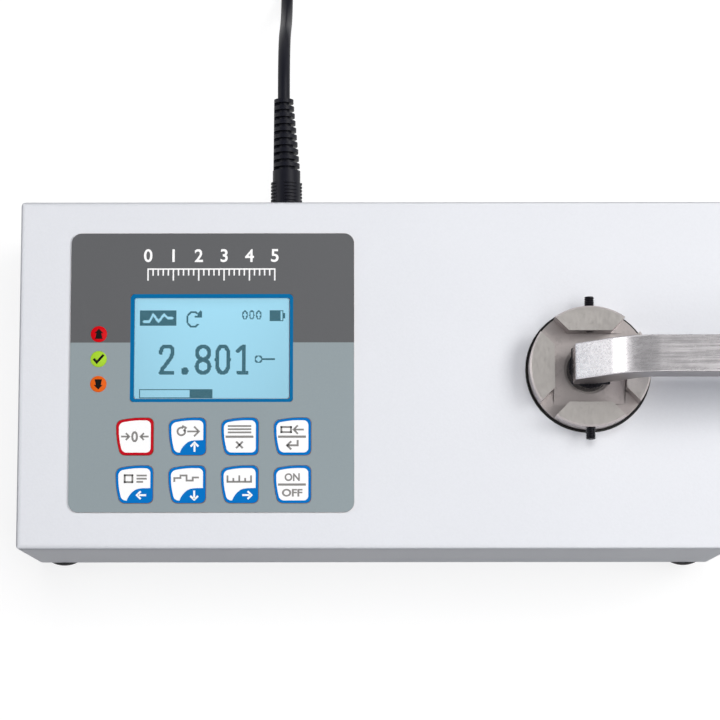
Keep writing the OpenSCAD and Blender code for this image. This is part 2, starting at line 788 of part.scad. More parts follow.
module torsion_shaft() {
    foot_z = base_t + 2 * face_gap;
    neck_z = base_t + housing_flange_t;
    neck_top_z = housing_top_z - bearing_h - journal_lead;
    collar_z = housing_top_z + face_gap;
    flange_z = hub_z - shaft_flange_t;
    blend = (journal_d - torsion_d) / 2;
    color(steel) at_axis(0) {
        difference() {
            union() {
                translate([0, 0, foot_z]) rod(shaft_foot_d, neck_z - foot_z);
                translate([0, 0, neck_z - overrun]) rod(torsion_d, neck_top_z - neck_z + 2 * overrun);
                translate([0, 0, neck_top_z - blend])
                    cylinder(d1 = torsion_d, d2 = journal_d, h = blend, $fn = smooth);
                translate([0, 0, neck_top_z]) rod(journal_d, collar_z - neck_top_z + overrun);
                translate([0, 0, collar_z]) rod(shaft_top_d, flange_z - collar_z + overrun);
                translate([0, 0, flange_z]) rod(shaft_flange_d, shaft_flange_t);
            }
            for (a = [0:90:270]) translate([head_bolt_r * cos(a), head_bolt_r * sin(a),
                flange_z - overrun]) rod(m4_d + 2 * pin_gap, shaft_flange_t + 2 * overrun);
        }
    }
}
module strain_gauges() {
    color([0.78, 0.5, 0.2]) for (a = [0:90:270]) at_axis(gauge_z) rotate([0, 0, a])
        intersection() {
            difference() {
                rod(torsion_d + 2 * gauge_size[0], gauge_size[2]);
                translate([0, 0, -overrun]) rod(torsion_d, gauge_size[2] + 2 * overrun);
            }
            translate([0, -gauge_size[1] / 2, 0]) cube([torsion_d, gauge_size[1], gauge_size[2]]);
        }
}
function bend(before, at, after, r) = let (a = at + r * unit(before - at), b = at + r * unit(after - at))
    [for (i = [0:arc_steps]) let (t = i / arc_steps) (1 - t) * (1 - t) * a + 2 * t * (1 - t) * at + t * t * b];
module gauge_cable() {
    gland_end = axis_y + housing_d / 2 + gland_w / 2;
    run_y = gland_end + gland_w;
    header = board_place(header_shares[0], header_size) + header_size / 2;
    route = [[axis_x, gland_end, cable_z], [axis_x, run_y, cable_z], [header[0], run_y, cable_z],
        [header[0], header[1], cable_z],
        [header[0], header[1], main_board_z + board_t + header_size[2]]];
    color(black) {
        translate([axis_x, gland_end - 2 * gland_w, cable_z])
            along_y() rod(gland_d - 2 * pin_gap, 2 * gland_w);
        tube(concat([route[0]], [for (i = [1:3])
            each bend(route[i - 1], route[i], route[i + 1], cable_bend)], [route[4]]),
            cable_d, lead_sides);
    }
}

// Fixture
module seal_ring() {
    inner = head_d / 2 + seal_gap;
    outer = inner + seal_w;
    color(black) at_axis(0) rotate_extrude($fn = smooth)
        polygon([[inner, ceiling_z - seal_t], [outer + seal_flange_w, ceiling_z - seal_t],
            [outer + seal_flange_w, ceiling_z], [outer, ceiling_z], [outer, top_z - seal_drop],
            [inner, top_z - seal_drop]]);
}
module fixture_head() {
    groove_len = head_d;
    color(steel) at_axis(0) difference() {
        rotate_extrude($fn = 2 * smooth) polygon([[0, hub_z], [head_d / 2, hub_z],
            [head_d / 2, jaw_z - rim_chamfer], [head_d / 2 - rim_chamfer, jaw_z], [0, jaw_z]]);
        translate([-jaw_inset, -jaw_inset, pocket_z])
            cube([2 * jaw_inset, 2 * jaw_inset, pocket_depth + overrun]);
        for (a = [45, 135]) rotate([0, 0, a])
            translate([-groove_len, -groove_w / 2, pocket_z])
                cube([2 * groove_len, groove_w, pocket_depth + overrun]);
        translate([0, 0, pocket_z - counterbore_depth])
            rod(counterbore_d, counterbore_depth + overrun);
        translate([0, 0, hub_z - overrun])
            rod(neck_d + 2 * pin_gap, pocket_z - hub_z + 2 * overrun);
        translate([0, -head_d, screw_z]) along_y() rod(screw_d + 2 * pin_gap, 2 * head_d);
        for (a = [0:90:270])
            translate([head_bolt_r * cos(a), head_bolt_r * sin(a), hub_z - overrun])
                rod(m4_d + 2 * pin_gap, overrun + head_bolt_len - shaft_flange_t + face_gap);
    }
}
module head_screws() {
    color(zinc) at_axis(hub_z - shaft_flange_t) for (a = [0:90:270])
        translate([head_bolt_r * cos(a), head_bolt_r * sin(a), 0])
            screw_up(m4_d, m3_head_d, m4_head_h, head_bolt_len);
}
module set_screw(side, tip) {
    color(black) at_axis(screw_z) rotate([0, 0, side > 0 ? 0 : 180])
        translate([0, tip, 0]) along_y() difference() {
            union() {
                cylinder(d1 = screw_d / 2, d2 = screw_d, h = screw_d / 4, $fn = smooth);
                translate([0, 0, screw_d / 4]) rod(screw_d, screw_len - screw_d / 4);
            }
            translate([0, 0, screw_len - socket_depth]) hex_prism(socket_w, socket_depth + overrun);
        }
}
module set_screw_rear() { set_screw(1, screw_tip_rear); }
module set_screw_front() { set_screw(-1, screw_tip_front); }

// Lever
module lever_arm() {
    half = bar_w / 2;
    under_z = arm_top_z - bar_h;
    foot_w = bar_w * heel_share;
    lean = (arm_top_z - lever_foot_z - root_rise) * crank_share;
    outline = [[-half, lever_foot_z], [foot_w - half, lever_foot_z],
        [foot_w - half + (under_z - lever_foot_z) * crank_share, under_z], [lever_reach, under_z],
        [lever_reach, arm_top_z], [lean - half, arm_top_z], [-half, lever_foot_z + root_rise]];
    color(aluminium) at_axis(0) rotate([90, 0, 0]) linear_extrude(bar_w, center = true)
        polygon(rounded(outline, [heel_r, heel_r, crank_in_r, end_r, end_r, crank_r, root_r]));
}
module lever_washer() {
    color(black) at_axis(lever_foot_z - washer_t)
        round_slab(washer_w, washer_d, heel_r, washer_t);
}
module lever_neck() {
    chamfer = rim_chamfer;
    top = lever_foot_z - washer_t;
    color([0.2, 0.2, 0.2]) at_axis(0) rotate_extrude($fn = smooth)
        polygon([[0, top - neck_len], [neck_d / 2 - chamfer, top - neck_len],
            [neck_d / 2, top - neck_len + chamfer], [neck_d / 2, top], [0, top]]);
}

// Rear sockets and the plug
module rear_place(x) {
    translate([x, case_d / 2, socket_z]) along_y() children();
}
module data_socket() {
    color(black) rear_place(plug_x) difference() {
        union() {
            translate([0, 0, data_rim_t - data_socket_len]) rod(data_socket_d, data_socket_len);
            rod(data_rim_d, data_rim_t);
            translate([0, 0, -sheet_t - data_nut_t]) hex_prism(data_nut_d, data_nut_t);
        }
        translate([0, 0, data_rim_t - plug_shell_len - face_gap])
            rod(plug_shell_d + 2 * pin_gap, plug_shell_len + face_gap + overrun);
    }
}
module charge_jack() {
    color(black) rear_place(jack_x) {
        difference() {
            union() {
                translate([0, 0, data_rim_t - jack_len]) rod(jack_d, jack_len);
                rod(jack_rim_d, data_rim_t);
                translate([0, 0, -sheet_t - data_nut_t]) hex_prism(jack_rim_d, data_nut_t);
            }
            translate([0, 0, data_rim_t - plug_shell_len]) rod(jack_bore_d, plug_shell_len + overrun);
        }
        translate([0, 0, data_rim_t - plug_shell_len]) rod(jack_pin_d, plug_shell_len - jack_pin_d);
    }
}
module plug_body() {
    start = data_rim_t;
    color(cord_black) rear_place(plug_x) {
        translate([0, 0, start - plug_shell_len]) difference() {
            rod(plug_shell_d, plug_shell_len);
            translate([0, 0, -overrun]) rod(plug_shell_d - 2 * plug_shell_t, plug_shell_len);
        }
        for (i = [0:contact_pins - 1]) rotate([0, 0, 360 * i / contact_pins])
            translate([contact_pin_r, 0, start - plug_shell_len + plug_shell_t])
                rod(contact_pin_d, plug_shell_len - plug_shell_t);
        translate([0, 0, start]) rod(grip_core_d, grip_len);
        for (i = [0:grip_ribs - 1], k = [0:grip_patches - 1])
            translate([0, 0, start + i * (grip_len - grip_rib_len) / (grip_ribs - 1)])
                rotate([0, 0, grip_turn + 360 * k / grip_patches]) intersection() {
                    rod(plug_d, grip_rib_len);
                    translate([0, -grip_patch_w / 2, 0]) cube([plug_d, grip_patch_w, grip_rib_len]);
                }
        translate([0, 0, start + grip_len]) rod(collar_d, collar_len);
    }
}
module strain_relief() {
    start = data_rim_t + grip_len + collar_len;
    step = relief_len / relief_slits;
    color(cord_black) rear_place(plug_x) translate([0, 0, start])
        for (i = [0:relief_slits - 1]) {
            share = i / (relief_slits - 1);
            d = relief_start_d + (relief_end_d - relief_start_d) * share;
            translate([-relief_lean * share, 0, i * step]) difference() {
                rod(d, step);
                translate([0, 0, -overrun]) difference() {
                    rod(d + 2 * overrun, relief_slit_len + overrun);
                    rod(d - 2 * relief_slit_depth, relief_slit_len + 2 * overrun);
                    for (turn = [90, 180]) rotate([0, 0, turn])
                        translate([0, -relief_spine_w / 2, 0])
                            cube([d, relief_spine_w, relief_slit_len + 2 * overrun]);
                }
            }
        }
}

// Lead, coil and far plug
module cord_lead() {
    color(cord_black) translate(lead_shift) {
        tube(lead_route, cord_d, lead_sides);
        tube(tail_route, cord_d, lead_sides);
    }
}
module cord_coil() {
    color(cord_black) translate(lead_shift) tube(coil_path, cord_d, coil_sides);
}
module coil_tie() {
    low = coil_x + coil_inner_r - cord_d / 2 - tie_gap;
    high = coil_x + coil_inner_r + coil_turns * coil_pitch + cord_d / 2 + tie_gap;
    bottom = coil_z - cord_d / 2 - tie_gap;
    top = coil_z + layer_pitch + cord_d / 2 + tie_gap;
    color([0.16, 0.16, 0.17]) translate(lead_shift + [(low + high) / 2, coil_y, (bottom + top) / 2])
        rotate([90, 0, 0]) linear_extrude(tie_w, center = true) difference() {
            round_rect(high - low + 2 * tie_t, top - bottom + 2 * tie_t, tie_r);
            round_rect(high - low, top - bottom, tie_r - tie_t);
        }
}
module usb_plug() {
    color(cord_black) translate(lead_shift + tail_route[len(tail_route) - 1]) rotate([90, 0, 90]) {
        rod(usb_neck_d, usb_neck_len);
        translate([0, 0, usb_neck_len]) round_slab(usb_w, usb_h, usb_r, usb_len - usb_neck_len);
        translate([0, 0, usb_len]) difference() {
            linear_extrude(usb_shell_len) square([usb_shell_w, usb_shell_h], center = true);
            translate([0, 0, usb_shell_t]) linear_extrude(usb_shell_len) difference() {
                square([usb_shell_w - 2 * usb_shell_t, usb_shell_h - 2 * usb_shell_t], center = true);
                translate([0, -(usb_shell_h - 2 * usb_shell_t - usb_tongue_t) / 2])
                    square([usb_shell_w - 2 * usb_shell_t + overrun, usb_tongue_t], center = true);
            }
        }
    }
}

top_cover();
base_plate();
foot_front_left();
foot_front_right();
foot_rear_left();
foot_rear_right();
foot_screws();
foot_nuts();
cover_screws();
panel_overlay();
key_circuit();
key_contacts();
keypad_tail();
display_window();
lcd_glass();
lcd_backlight();
lcd_bezel();
display_board();
display_standoffs();
display_screws();
indicator_high();
indicator_ok();
indicator_low();
indicator_leds();
key_zero();
key_up();
key_menu();
key_enter();
key_left();
key_down();
key_right();
key_power();
main_board();
board_components();
board_standoffs();
board_screws();
battery_pack();
battery_bracket();
transducer_housing();
torsion_shaft();
shaft_bearing();
strain_gauges();
transducer_screws();
gauge_cable();
seal_ring();
fixture_head();
head_screws();
set_screw_rear();
set_screw_front();
lever_arm();
lever_neck();
lever_washer();
data_socket();
charge_jack();
plug_body();
strain_relief();
cord_lead();
cord_coil();
coil_tie();
usb_plug();
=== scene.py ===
"""Looks of the benchtop torque tester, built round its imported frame.

Each sub-assembly is a class that makes its own pieces, and each finish is a frozen dataclass that
makes one procedural material. All lengths are in metres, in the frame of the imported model.
"""

import json
import logging
import math
from collections.abc import Iterable, Sequence
from dataclasses import dataclass
from enum import Enum

import bmesh
import bpy
from mathutils import Matrix, Vector

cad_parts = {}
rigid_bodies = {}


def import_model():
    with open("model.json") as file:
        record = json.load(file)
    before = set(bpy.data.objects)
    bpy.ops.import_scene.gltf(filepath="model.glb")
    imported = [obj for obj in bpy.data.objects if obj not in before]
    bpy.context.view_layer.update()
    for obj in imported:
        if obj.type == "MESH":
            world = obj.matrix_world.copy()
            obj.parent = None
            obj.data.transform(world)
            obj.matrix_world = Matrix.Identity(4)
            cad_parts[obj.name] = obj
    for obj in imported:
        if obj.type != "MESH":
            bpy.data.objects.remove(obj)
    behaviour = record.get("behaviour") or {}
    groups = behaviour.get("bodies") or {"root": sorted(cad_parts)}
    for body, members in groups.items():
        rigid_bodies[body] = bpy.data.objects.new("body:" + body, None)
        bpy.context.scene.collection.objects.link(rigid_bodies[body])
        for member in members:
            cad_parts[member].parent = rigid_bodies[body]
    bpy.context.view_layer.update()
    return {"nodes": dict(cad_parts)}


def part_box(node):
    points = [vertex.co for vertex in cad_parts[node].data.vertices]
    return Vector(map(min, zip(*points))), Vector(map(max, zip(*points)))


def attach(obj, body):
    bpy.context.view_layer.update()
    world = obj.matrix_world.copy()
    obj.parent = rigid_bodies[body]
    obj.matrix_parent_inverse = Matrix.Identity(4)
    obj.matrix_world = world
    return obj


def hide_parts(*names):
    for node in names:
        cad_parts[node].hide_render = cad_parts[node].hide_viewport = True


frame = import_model()
LOG = logging.getLogger("torque_tester")

MM = 0.001
Point = tuple[float, float]
Point3 = tuple[float, float, float]
Colour = tuple[float, float, float]


def srgb(red: int, green: int, blue: int) -> Colour:
    """Turn a colour as a screen shows it into the linear values that shaders take.

    Args:
        red: Red from 0 to 255.
        green: Green from 0 to 255.
        blue: Blue from 0 to 255.

    Returns:
        The linear red, green and blue, from 0 to 1.
    """
    def linear(value: float) -> float:
        """One channel from its screen value."""
        share = value / 255
        return share / 12.92 if share <= 0.04045 else ((share + 0.055) / 1.055) ** 2.4

    return linear(red), linear(green), linear(blue)


class Tree:
    """A short way to add and link nodes in one node tree."""

    def __init__(self, tree: bpy.types.NodeTree) -> None:
        """Keep the tree that the nodes go into."""
        self.tree = tree

    def add(self, kind: str, inputs: dict[str | int, object] | None = None,
            **settings: object) -> bpy.types.Node:
        """Add one node.

        Args:
            kind: The node's type name.
            inputs: Input names or indices with a value, or the socket to link from.
            settings: Attributes to set on the node.

        Returns:
            The new node.
        """
        node = self.tree.nodes.new(kind)
        for name, value in settings.items():
            setattr(node, name, value)
        for name, value in (inputs or {}).items():
            socket = node.inputs[name]
            if isinstance(value, bpy.types.NodeSocket):
                self.tree.links.new(value, socket)
            elif isinstance(value, tuple) and len(value) == 3 and socket.type == "RGBA":
                socket.default_value = (*value, 1)
            else:
                socket.default_value = value
        return node

    def link(self, source: bpy.types.NodeSocket, target: bpy.types.NodeSocket) -> None:
        """Link two sockets."""
        self.tree.links.new(source, target)

    def math(self, kind: str, *values: object) -> bpy.types.NodeSocket:
        """Add a Math node on the given values or sockets and return its result."""
        return self.add("ShaderNodeMath", dict(enumerate(values)), operation=kind).outputs[0]


def make_group(name: str, inputs: dict[str, float],
               outputs: dict[str, str]) -> tuple[Tree, bpy.types.Node, bpy.types.Node]:
    """Start a shader node group.

    Args:
        name: The group's name.
        inputs: Its number inputs with their usual values.
        outputs: Its outputs with their socket types.

    Returns:
        The group's tree, its input node and its output node.
    """
    tree = bpy.data.node_groups.new(name, "ShaderNodeTree")
    for label, value in inputs.items():
        socket = tree.interface.new_socket(label, in_out="INPUT", socket_type="NodeSocketFloat")
        socket.default_value = value
    for label, kind in outputs.items():
        tree.interface.new_socket(label, in_out="OUTPUT", socket_type=kind)
    nodes = Tree(tree)
    return nodes, nodes.add("NodeGroupInput"), nodes.add("NodeGroupOutput")


class Effects:
    """The surface effects that several finishes share, each built once as a node group."""

    _made: dict[str, bpy.types.NodeTree] = {}

    @classmethod
    def speckle(cls) -> bpy.types.NodeTree:
        """Give fine and broad mottling: a value round 0.5 and a height.

        Returns:
            The group, with Fine, Broad and Contrast as inputs.
        """
        if "speckle" not in cls._made:
            t, start, end = make_group("speckle", {"Fine": 900.0, "Broad": 60.0, "Contrast": 0.5},
                                       {"Value": "NodeSocketFloat", "Height": "NodeSocketFloat"})
            place = t.add("ShaderNodeTexCoord").outputs["Object"]
            fine = t.add("ShaderNodeTexNoise", {"Vector": place, "Scale": start.outputs["Fine"],
                                                "Detail": 3.0, "Roughness": 0.55})
            broad = t.add("ShaderNodeTexNoise", {"Vector": place, "Scale": start.outputs["Broad"],
                                                 "Detail": 2.0})
            mix = t.math("ADD", t.math("MULTIPLY", fine.outputs["Fac"], 0.6),
                         t.math("MULTIPLY", broad.outputs["Fac"], 0.4))
            spread = t.math("MULTIPLY", t.math("SUBTRACT", mix, 0.5), start.outputs["Contrast"])
            t.link(t.math("ADD", spread, 0.5), end.inputs["Value"])
            t.link(fine.outputs["Fac"], end.inputs["Height"])
            cls._made["speckle"] = t.tree
        return cls._made["speckle"]

    @classmethod
    def grain(cls) -> bpy.types.NodeTree:
        """Give brushed lines along X, Y or round Z: a value round 0.5.

        Returns:
            The group, with a scale along each axis and Contrast as inputs.
        """
        if "grain" not in cls._made:
            t, start, end = make_group("grain", {"Along X": 40.0, "Along Y": 4000.0,
                                                 "Along Z": 4000.0, "Contrast": 1.0},
                                       {"Value": "NodeSocketFloat"})
            place = t.add("ShaderNodeSeparateXYZ",
                          {0: t.add("ShaderNodeTexCoord").outputs["Object"]})
            parts = [t.math("MULTIPLY", place.outputs[i], start.outputs[f"Along {axis}"])
                     for i, axis in enumerate("XYZ")]
            stretched = t.add("ShaderNodeCombineXYZ", dict(enumerate(parts)))
            lines = t.add("ShaderNodeTexNoise", {"Vector": stretched.outputs[0], "Scale": 1.0,
                                                 "Detail": 4.0, "Roughness": 0.65})
            spread = t.math("MULTIPLY", t.math("SUBTRACT", lines.outputs["Fac"], 0.5),
                            start.outputs["Contrast"])
            t.link(t.math("ADD", spread, 0.5), end.inputs["Value"])
            cls._made["grain"] = t.tree
        return cls._made["grain"]

    @classmethod
    def wear(cls) -> bpy.types.NodeTree:
        """Give a mask that is 1 on worn outer edges and 0 elsewhere.

        Returns:
            The group, with Amount and Width as inputs.
        """
        if "wear" not in cls._made:
            t, start, end = make_group("wear", {"Amount": 0.5, "Width": 0.4},
                                       {"Mask": "NodeSocketFloat"})
            point = t.add("ShaderNodeNewGeometry").outputs["Pointiness"]
            ramp = t.add("ShaderNodeMapRange", {"Value": point, "From Min": 0.52, "From Max": 0.6})
            noise = t.add("ShaderNodeTexNoise",
                          {"Vector": t.add("ShaderNodeTexCoord").outputs["Object"],
                           "Scale": 700.0, "Detail": 3.0})
            patchy = t.math("MULTIPLY", ramp.outputs[0],
                            t.math("GREATER_THAN", noise.outputs["Fac"], start.outputs["Width"]))
            t.link(t.math("MULTIPLY", patchy, start.outputs["Amount"]), end.inputs["Mask"])
            cls._made["wear"] = t.tree
        return cls._made["wear"]


def use_group(t: Tree, tree: bpy.types.NodeTree, **values: float) -> bpy.types.Node:
    """Place a shared group in a material, with its own values.

    Args:
        t: The material's tree.
        tree: The shared group.
        values: Its inputs, with a space of their names written as an underscore.

    Returns:
        The group node.
    """
    node = t.add("ShaderNodeGroup")
    node.node_tree = tree
    for name, value in values.items():
        node.inputs[name.replace("_", " ")].default_value = value
    return node


def start_material(name: str, **values: object) -> tuple[bpy.types.Material, Tree, bpy.types.Node]:
    """Make a material with one Principled shader.

    Args:
        name: The material's name.
        values: Inputs of the shader, with a space of their names written as an underscore.

    Returns:
        The material, its tree and its shader node.
    """
    material = bpy.data.materials.new(name)
    material.use_nodes = True
    t = Tree(material.node_tree)
    shader = material.node_tree.nodes["Principled BSDF"]
    for label, value in values.items():
        socket = shader.inputs[label.replace("_", " ")]
        socket.default_value = (*value, 1) if isinstance(value, tuple) and len(value) == 3 else value
    return material, t, shader


def mix_colour(t: Tree, share: object, low: Colour, high: Colour) -> bpy.types.NodeSocket:
    """Blend two colours by a share and return the result.

    Args:
        t: The material's tree.
        share: The share of the second colour, or its socket.
        low: The first colour.
        high: The second colour.

    Returns:
        The socket of the blend.
    """
    node = t.add("ShaderNodeMix", {"Factor": share}, data_type="RGBA")
    node.inputs[6].default_value = (*low, 1)
    node.inputs[7].default_value = (*high, 1)
    return node.outputs[2]


def darker(colour: Colour, share: float) -> Colour:
    """Give a colour with each of its values times a share."""
    return tuple(value * share for value in colour)


@dataclass(frozen=True)
class Coat:
    """A painted, moulded or printed surface with fine mottling and a textured gloss."""

    name: str
    colour: Colour
    roughness: float = 0.5
    variation: float = 0.06
    fine: float = 900.0
    broad: float = 60.0
    bump: float = 0.1
    bump_depth: float = 0.00005
    metallic: float = 0.0
    specular: float = 0.5

    def build(self) -> bpy.types.Material:
        """Make the material.

        Returns:
            The finished material.
        """
        material, t, shader = start_material(self.name, Metallic=self.metallic,
                                             Specular_IOR_Level=self.specular)
        spots = use_group(t, Effects.speckle(), Fine=self.fine, Broad=self.broad, Contrast=1.6)
        low, high = darker(self.colour, 1 - self.variation), darker(self.colour, 1 + self.variation)
        t.link(mix_colour(t, spots.outputs["Value"], low, high), shader.inputs["Base Color"])
        rough = t.add("ShaderNodeMapRange", {"Value": spots.outputs["Value"],
                                             "To Min": max(0.03, self.roughness - 0.07),
                                             "To Max": min(1.0, self.roughness + 0.07)})
        t.link(rough.outputs[0], shader.inputs["Roughness"])
        bump = t.add("ShaderNodeBump", {"Strength": self.bump, "Distance": self.bump_depth,
                                        "Height": spots.outputs["Height"]})
        t.link(bump.outputs[0], shader.inputs["Normal"])
        return material


@dataclass(frozen=True)
class Metal:
    """A bare metal with brushed or milled lines, small marks and brighter worn edges."""

    name: str
    colour: Colour
    roughness: float = 0.3
    along: Point3 = (40.0, 4000.0, 4000.0)
    variation: float = 0.12
    bump: float = 0.2
    edge: float = 0.4
    metallic: float = 1.0

    def build(self) -> bpy.types.Material:
        """Make the material.

        Returns:
            The finished material.
        """
        material, t, shader = start_material(self.name, Metallic=self.metallic)
        lines = use_group(t, Effects.grain(), Along_X=self.along[0], Along_Y=self.along[1],
                          Along_Z=self.along[2], Contrast=2.2)
        marks = use_group(t, Effects.speckle(), Fine=260.0, Broad=45.0, Contrast=1.4)
        worn = use_group(t, Effects.wear(), Amount=self.edge, Width=0.42)
        both = t.math("ADD", t.math("MULTIPLY", lines.outputs["Value"], 0.65),
                      t.math("MULTIPLY", marks.outputs["Value"], 0.35))
        plain = mix_colour(t, both, darker(self.colour, 1 - self.variation),
                           darker(self.colour, 1 + self.variation))
        edge = t.add("ShaderNodeMix", {"Factor": worn.outputs["Mask"]}, data_type="RGBA")
        t.link(plain, edge.inputs[6])
        edge.inputs[7].default_value = (*darker(self.colour, 1.35), 1)
        t.link(edge.outputs[2], shader.inputs["Base Color"])
        rough = t.add("ShaderNodeMapRange", {"Value": both, "To Min": max(0.05, self.roughness - 0.1),
                                             "To Max": self.roughness + 0.1})
        t.link(rough.outputs[0], shader.inputs["Roughness"])
        bump = t.add("ShaderNodeBump", {"Strength": self.bump, "Distance": 0.00002,
                                        "Height": lines.outputs["Value"]})
        t.link(bump.outputs[0], shader.inputs["Normal"])
        return material


@dataclass(frozen=True)
class OverlayPrint:
    """The overlay's two printed greys, with their border at one height of the panel."""

    name: str
    upper: Colour
    lower: Colour
    border_y: float
    roughness: float = 0.42

    def build(self) -> bpy.types.Material:
        """Make the material.

        Returns:
            The finished material.
        """
        material, t, shader = start_material(self.name, Specular_IOR_Level=0.25)
        place = t.add("ShaderNodeSeparateXYZ", {0: t.add("ShaderNodeTexCoord").outputs["Object"]})
        above = t.math("GREATER_THAN", place.outputs[1], self.border_y)
        spots = use_group(t, Effects.speckle(), Fine=1500.0, Broad=25.0, Contrast=1.0)
        shade = t.add("ShaderNodeMapRange", {"Value": spots.outputs["Value"], "To Min": 0.94,
                                             "To Max": 1.06})
        base = mix_colour(t, above, self.lower, self.upper)
        toned = t.add("ShaderNodeVectorMath", {0: base}, operation="SCALE")
        t.link(shade.outputs[0], toned.inputs["Scale"])
        t.link(toned.outputs[0], shader.inputs["Base Color"])
        rough = t.add("ShaderNodeMapRange", {"Value": spots.outputs["Value"],
                                             "To Min": self.roughness - 0.05,
                                             "To Max": self.roughness + 0.05})
        t.link(rough.outputs[0], shader.inputs["Roughness"])
        bump = t.add("ShaderNodeBump", {"Strength": 0.06, "Distance": 0.00002,
                                        "Height": spots.outputs["Height"]})
        t.link(bump.outputs[0], shader.inputs["Normal"])
        return material


@dataclass(frozen=True)
class LitPanel:
    """The backlit display: a pale blue that glows a little and dims towards its edges."""

    name: str
    colour: Colour
    centre: Point
    half: Point
    glow: float = 0.6

    def build(self) -> bpy.types.Material:
        """Make the material.

        Returns:
            The finished material.
        """
        material, t, shader = start_material(self.name, Roughness=0.35, Specular_IOR_Level=0.2,
                                             Emission_Strength=self.glow)
        place = t.add("ShaderNodeSeparateXYZ", {0: t.add("ShaderNodeTexCoord").outputs["Object"]})
        sides = [t.math("ABSOLUTE", t.math("DIVIDE", t.math("SUBTRACT", place.outputs[i],
                                                            self.centre[i]), self.half[i]))
                 for i in (0, 1)]
        rim = t.math("MAXIMUM", t.math("POWER", sides[0], 14.0), t.math("POWER", sides[1], 10.0))
        across = t.math("MULTIPLY", t.math("POWER", sides[0], 2.0), 0.4)
        low = t.add("ShaderNodeMapRange", {"Value": place.outputs[1],
                                           "From Min": self.centre[1] - self.half[1],
                                           "From Max": self.centre[1] + self.half[1],
                                           "To Min": 0.6, "To Max": 0.0})
        share = t.math("MAXIMUM", rim, t.math("ADD", low.outputs[0], across))
        colour = mix_colour(t, share, self.colour, darker(self.colour, 0.8))
        soft = t.add("ShaderNodeVectorMath", {0: colour, "Scale": 1 - self.glow}, operation="SCALE")
        t.link(soft.outputs[0], shader.inputs["Base Color"])
        t.link(colour, shader.inputs["Emission Color"])
        return material


@dataclass(frozen=True)
class ClearFilm:
    """A clear gloss film that shows what lies under it."""

    name: str
    colour: Colour = (0.3, 0.34, 0.38)
    alpha: float = 0.05
    roughness: float = 0.12

    def build(self) -> bpy.types.Material:
        """Make the material.

        Returns:
            The finished material.
        """
        material, t, shader = start_material(self.name, Base_Color=self.colour, Alpha=self.alpha)
        spots = use_group(t, Effects.speckle(), Fine=800.0, Broad=30.0, Contrast=1.0)
        rough = t.add("ShaderNodeMapRange", {"Value": spots.outputs["Value"],
                                             "To Min": self.roughness - 0.04,
                                             "To Max": self.roughness + 0.04})
        t.link(rough.outputs[0], shader.inputs["Roughness"])
        return material


# The material of each finish that is built already, by the finish's name
BUILT: dict[str, bpy.types.Material] = {}


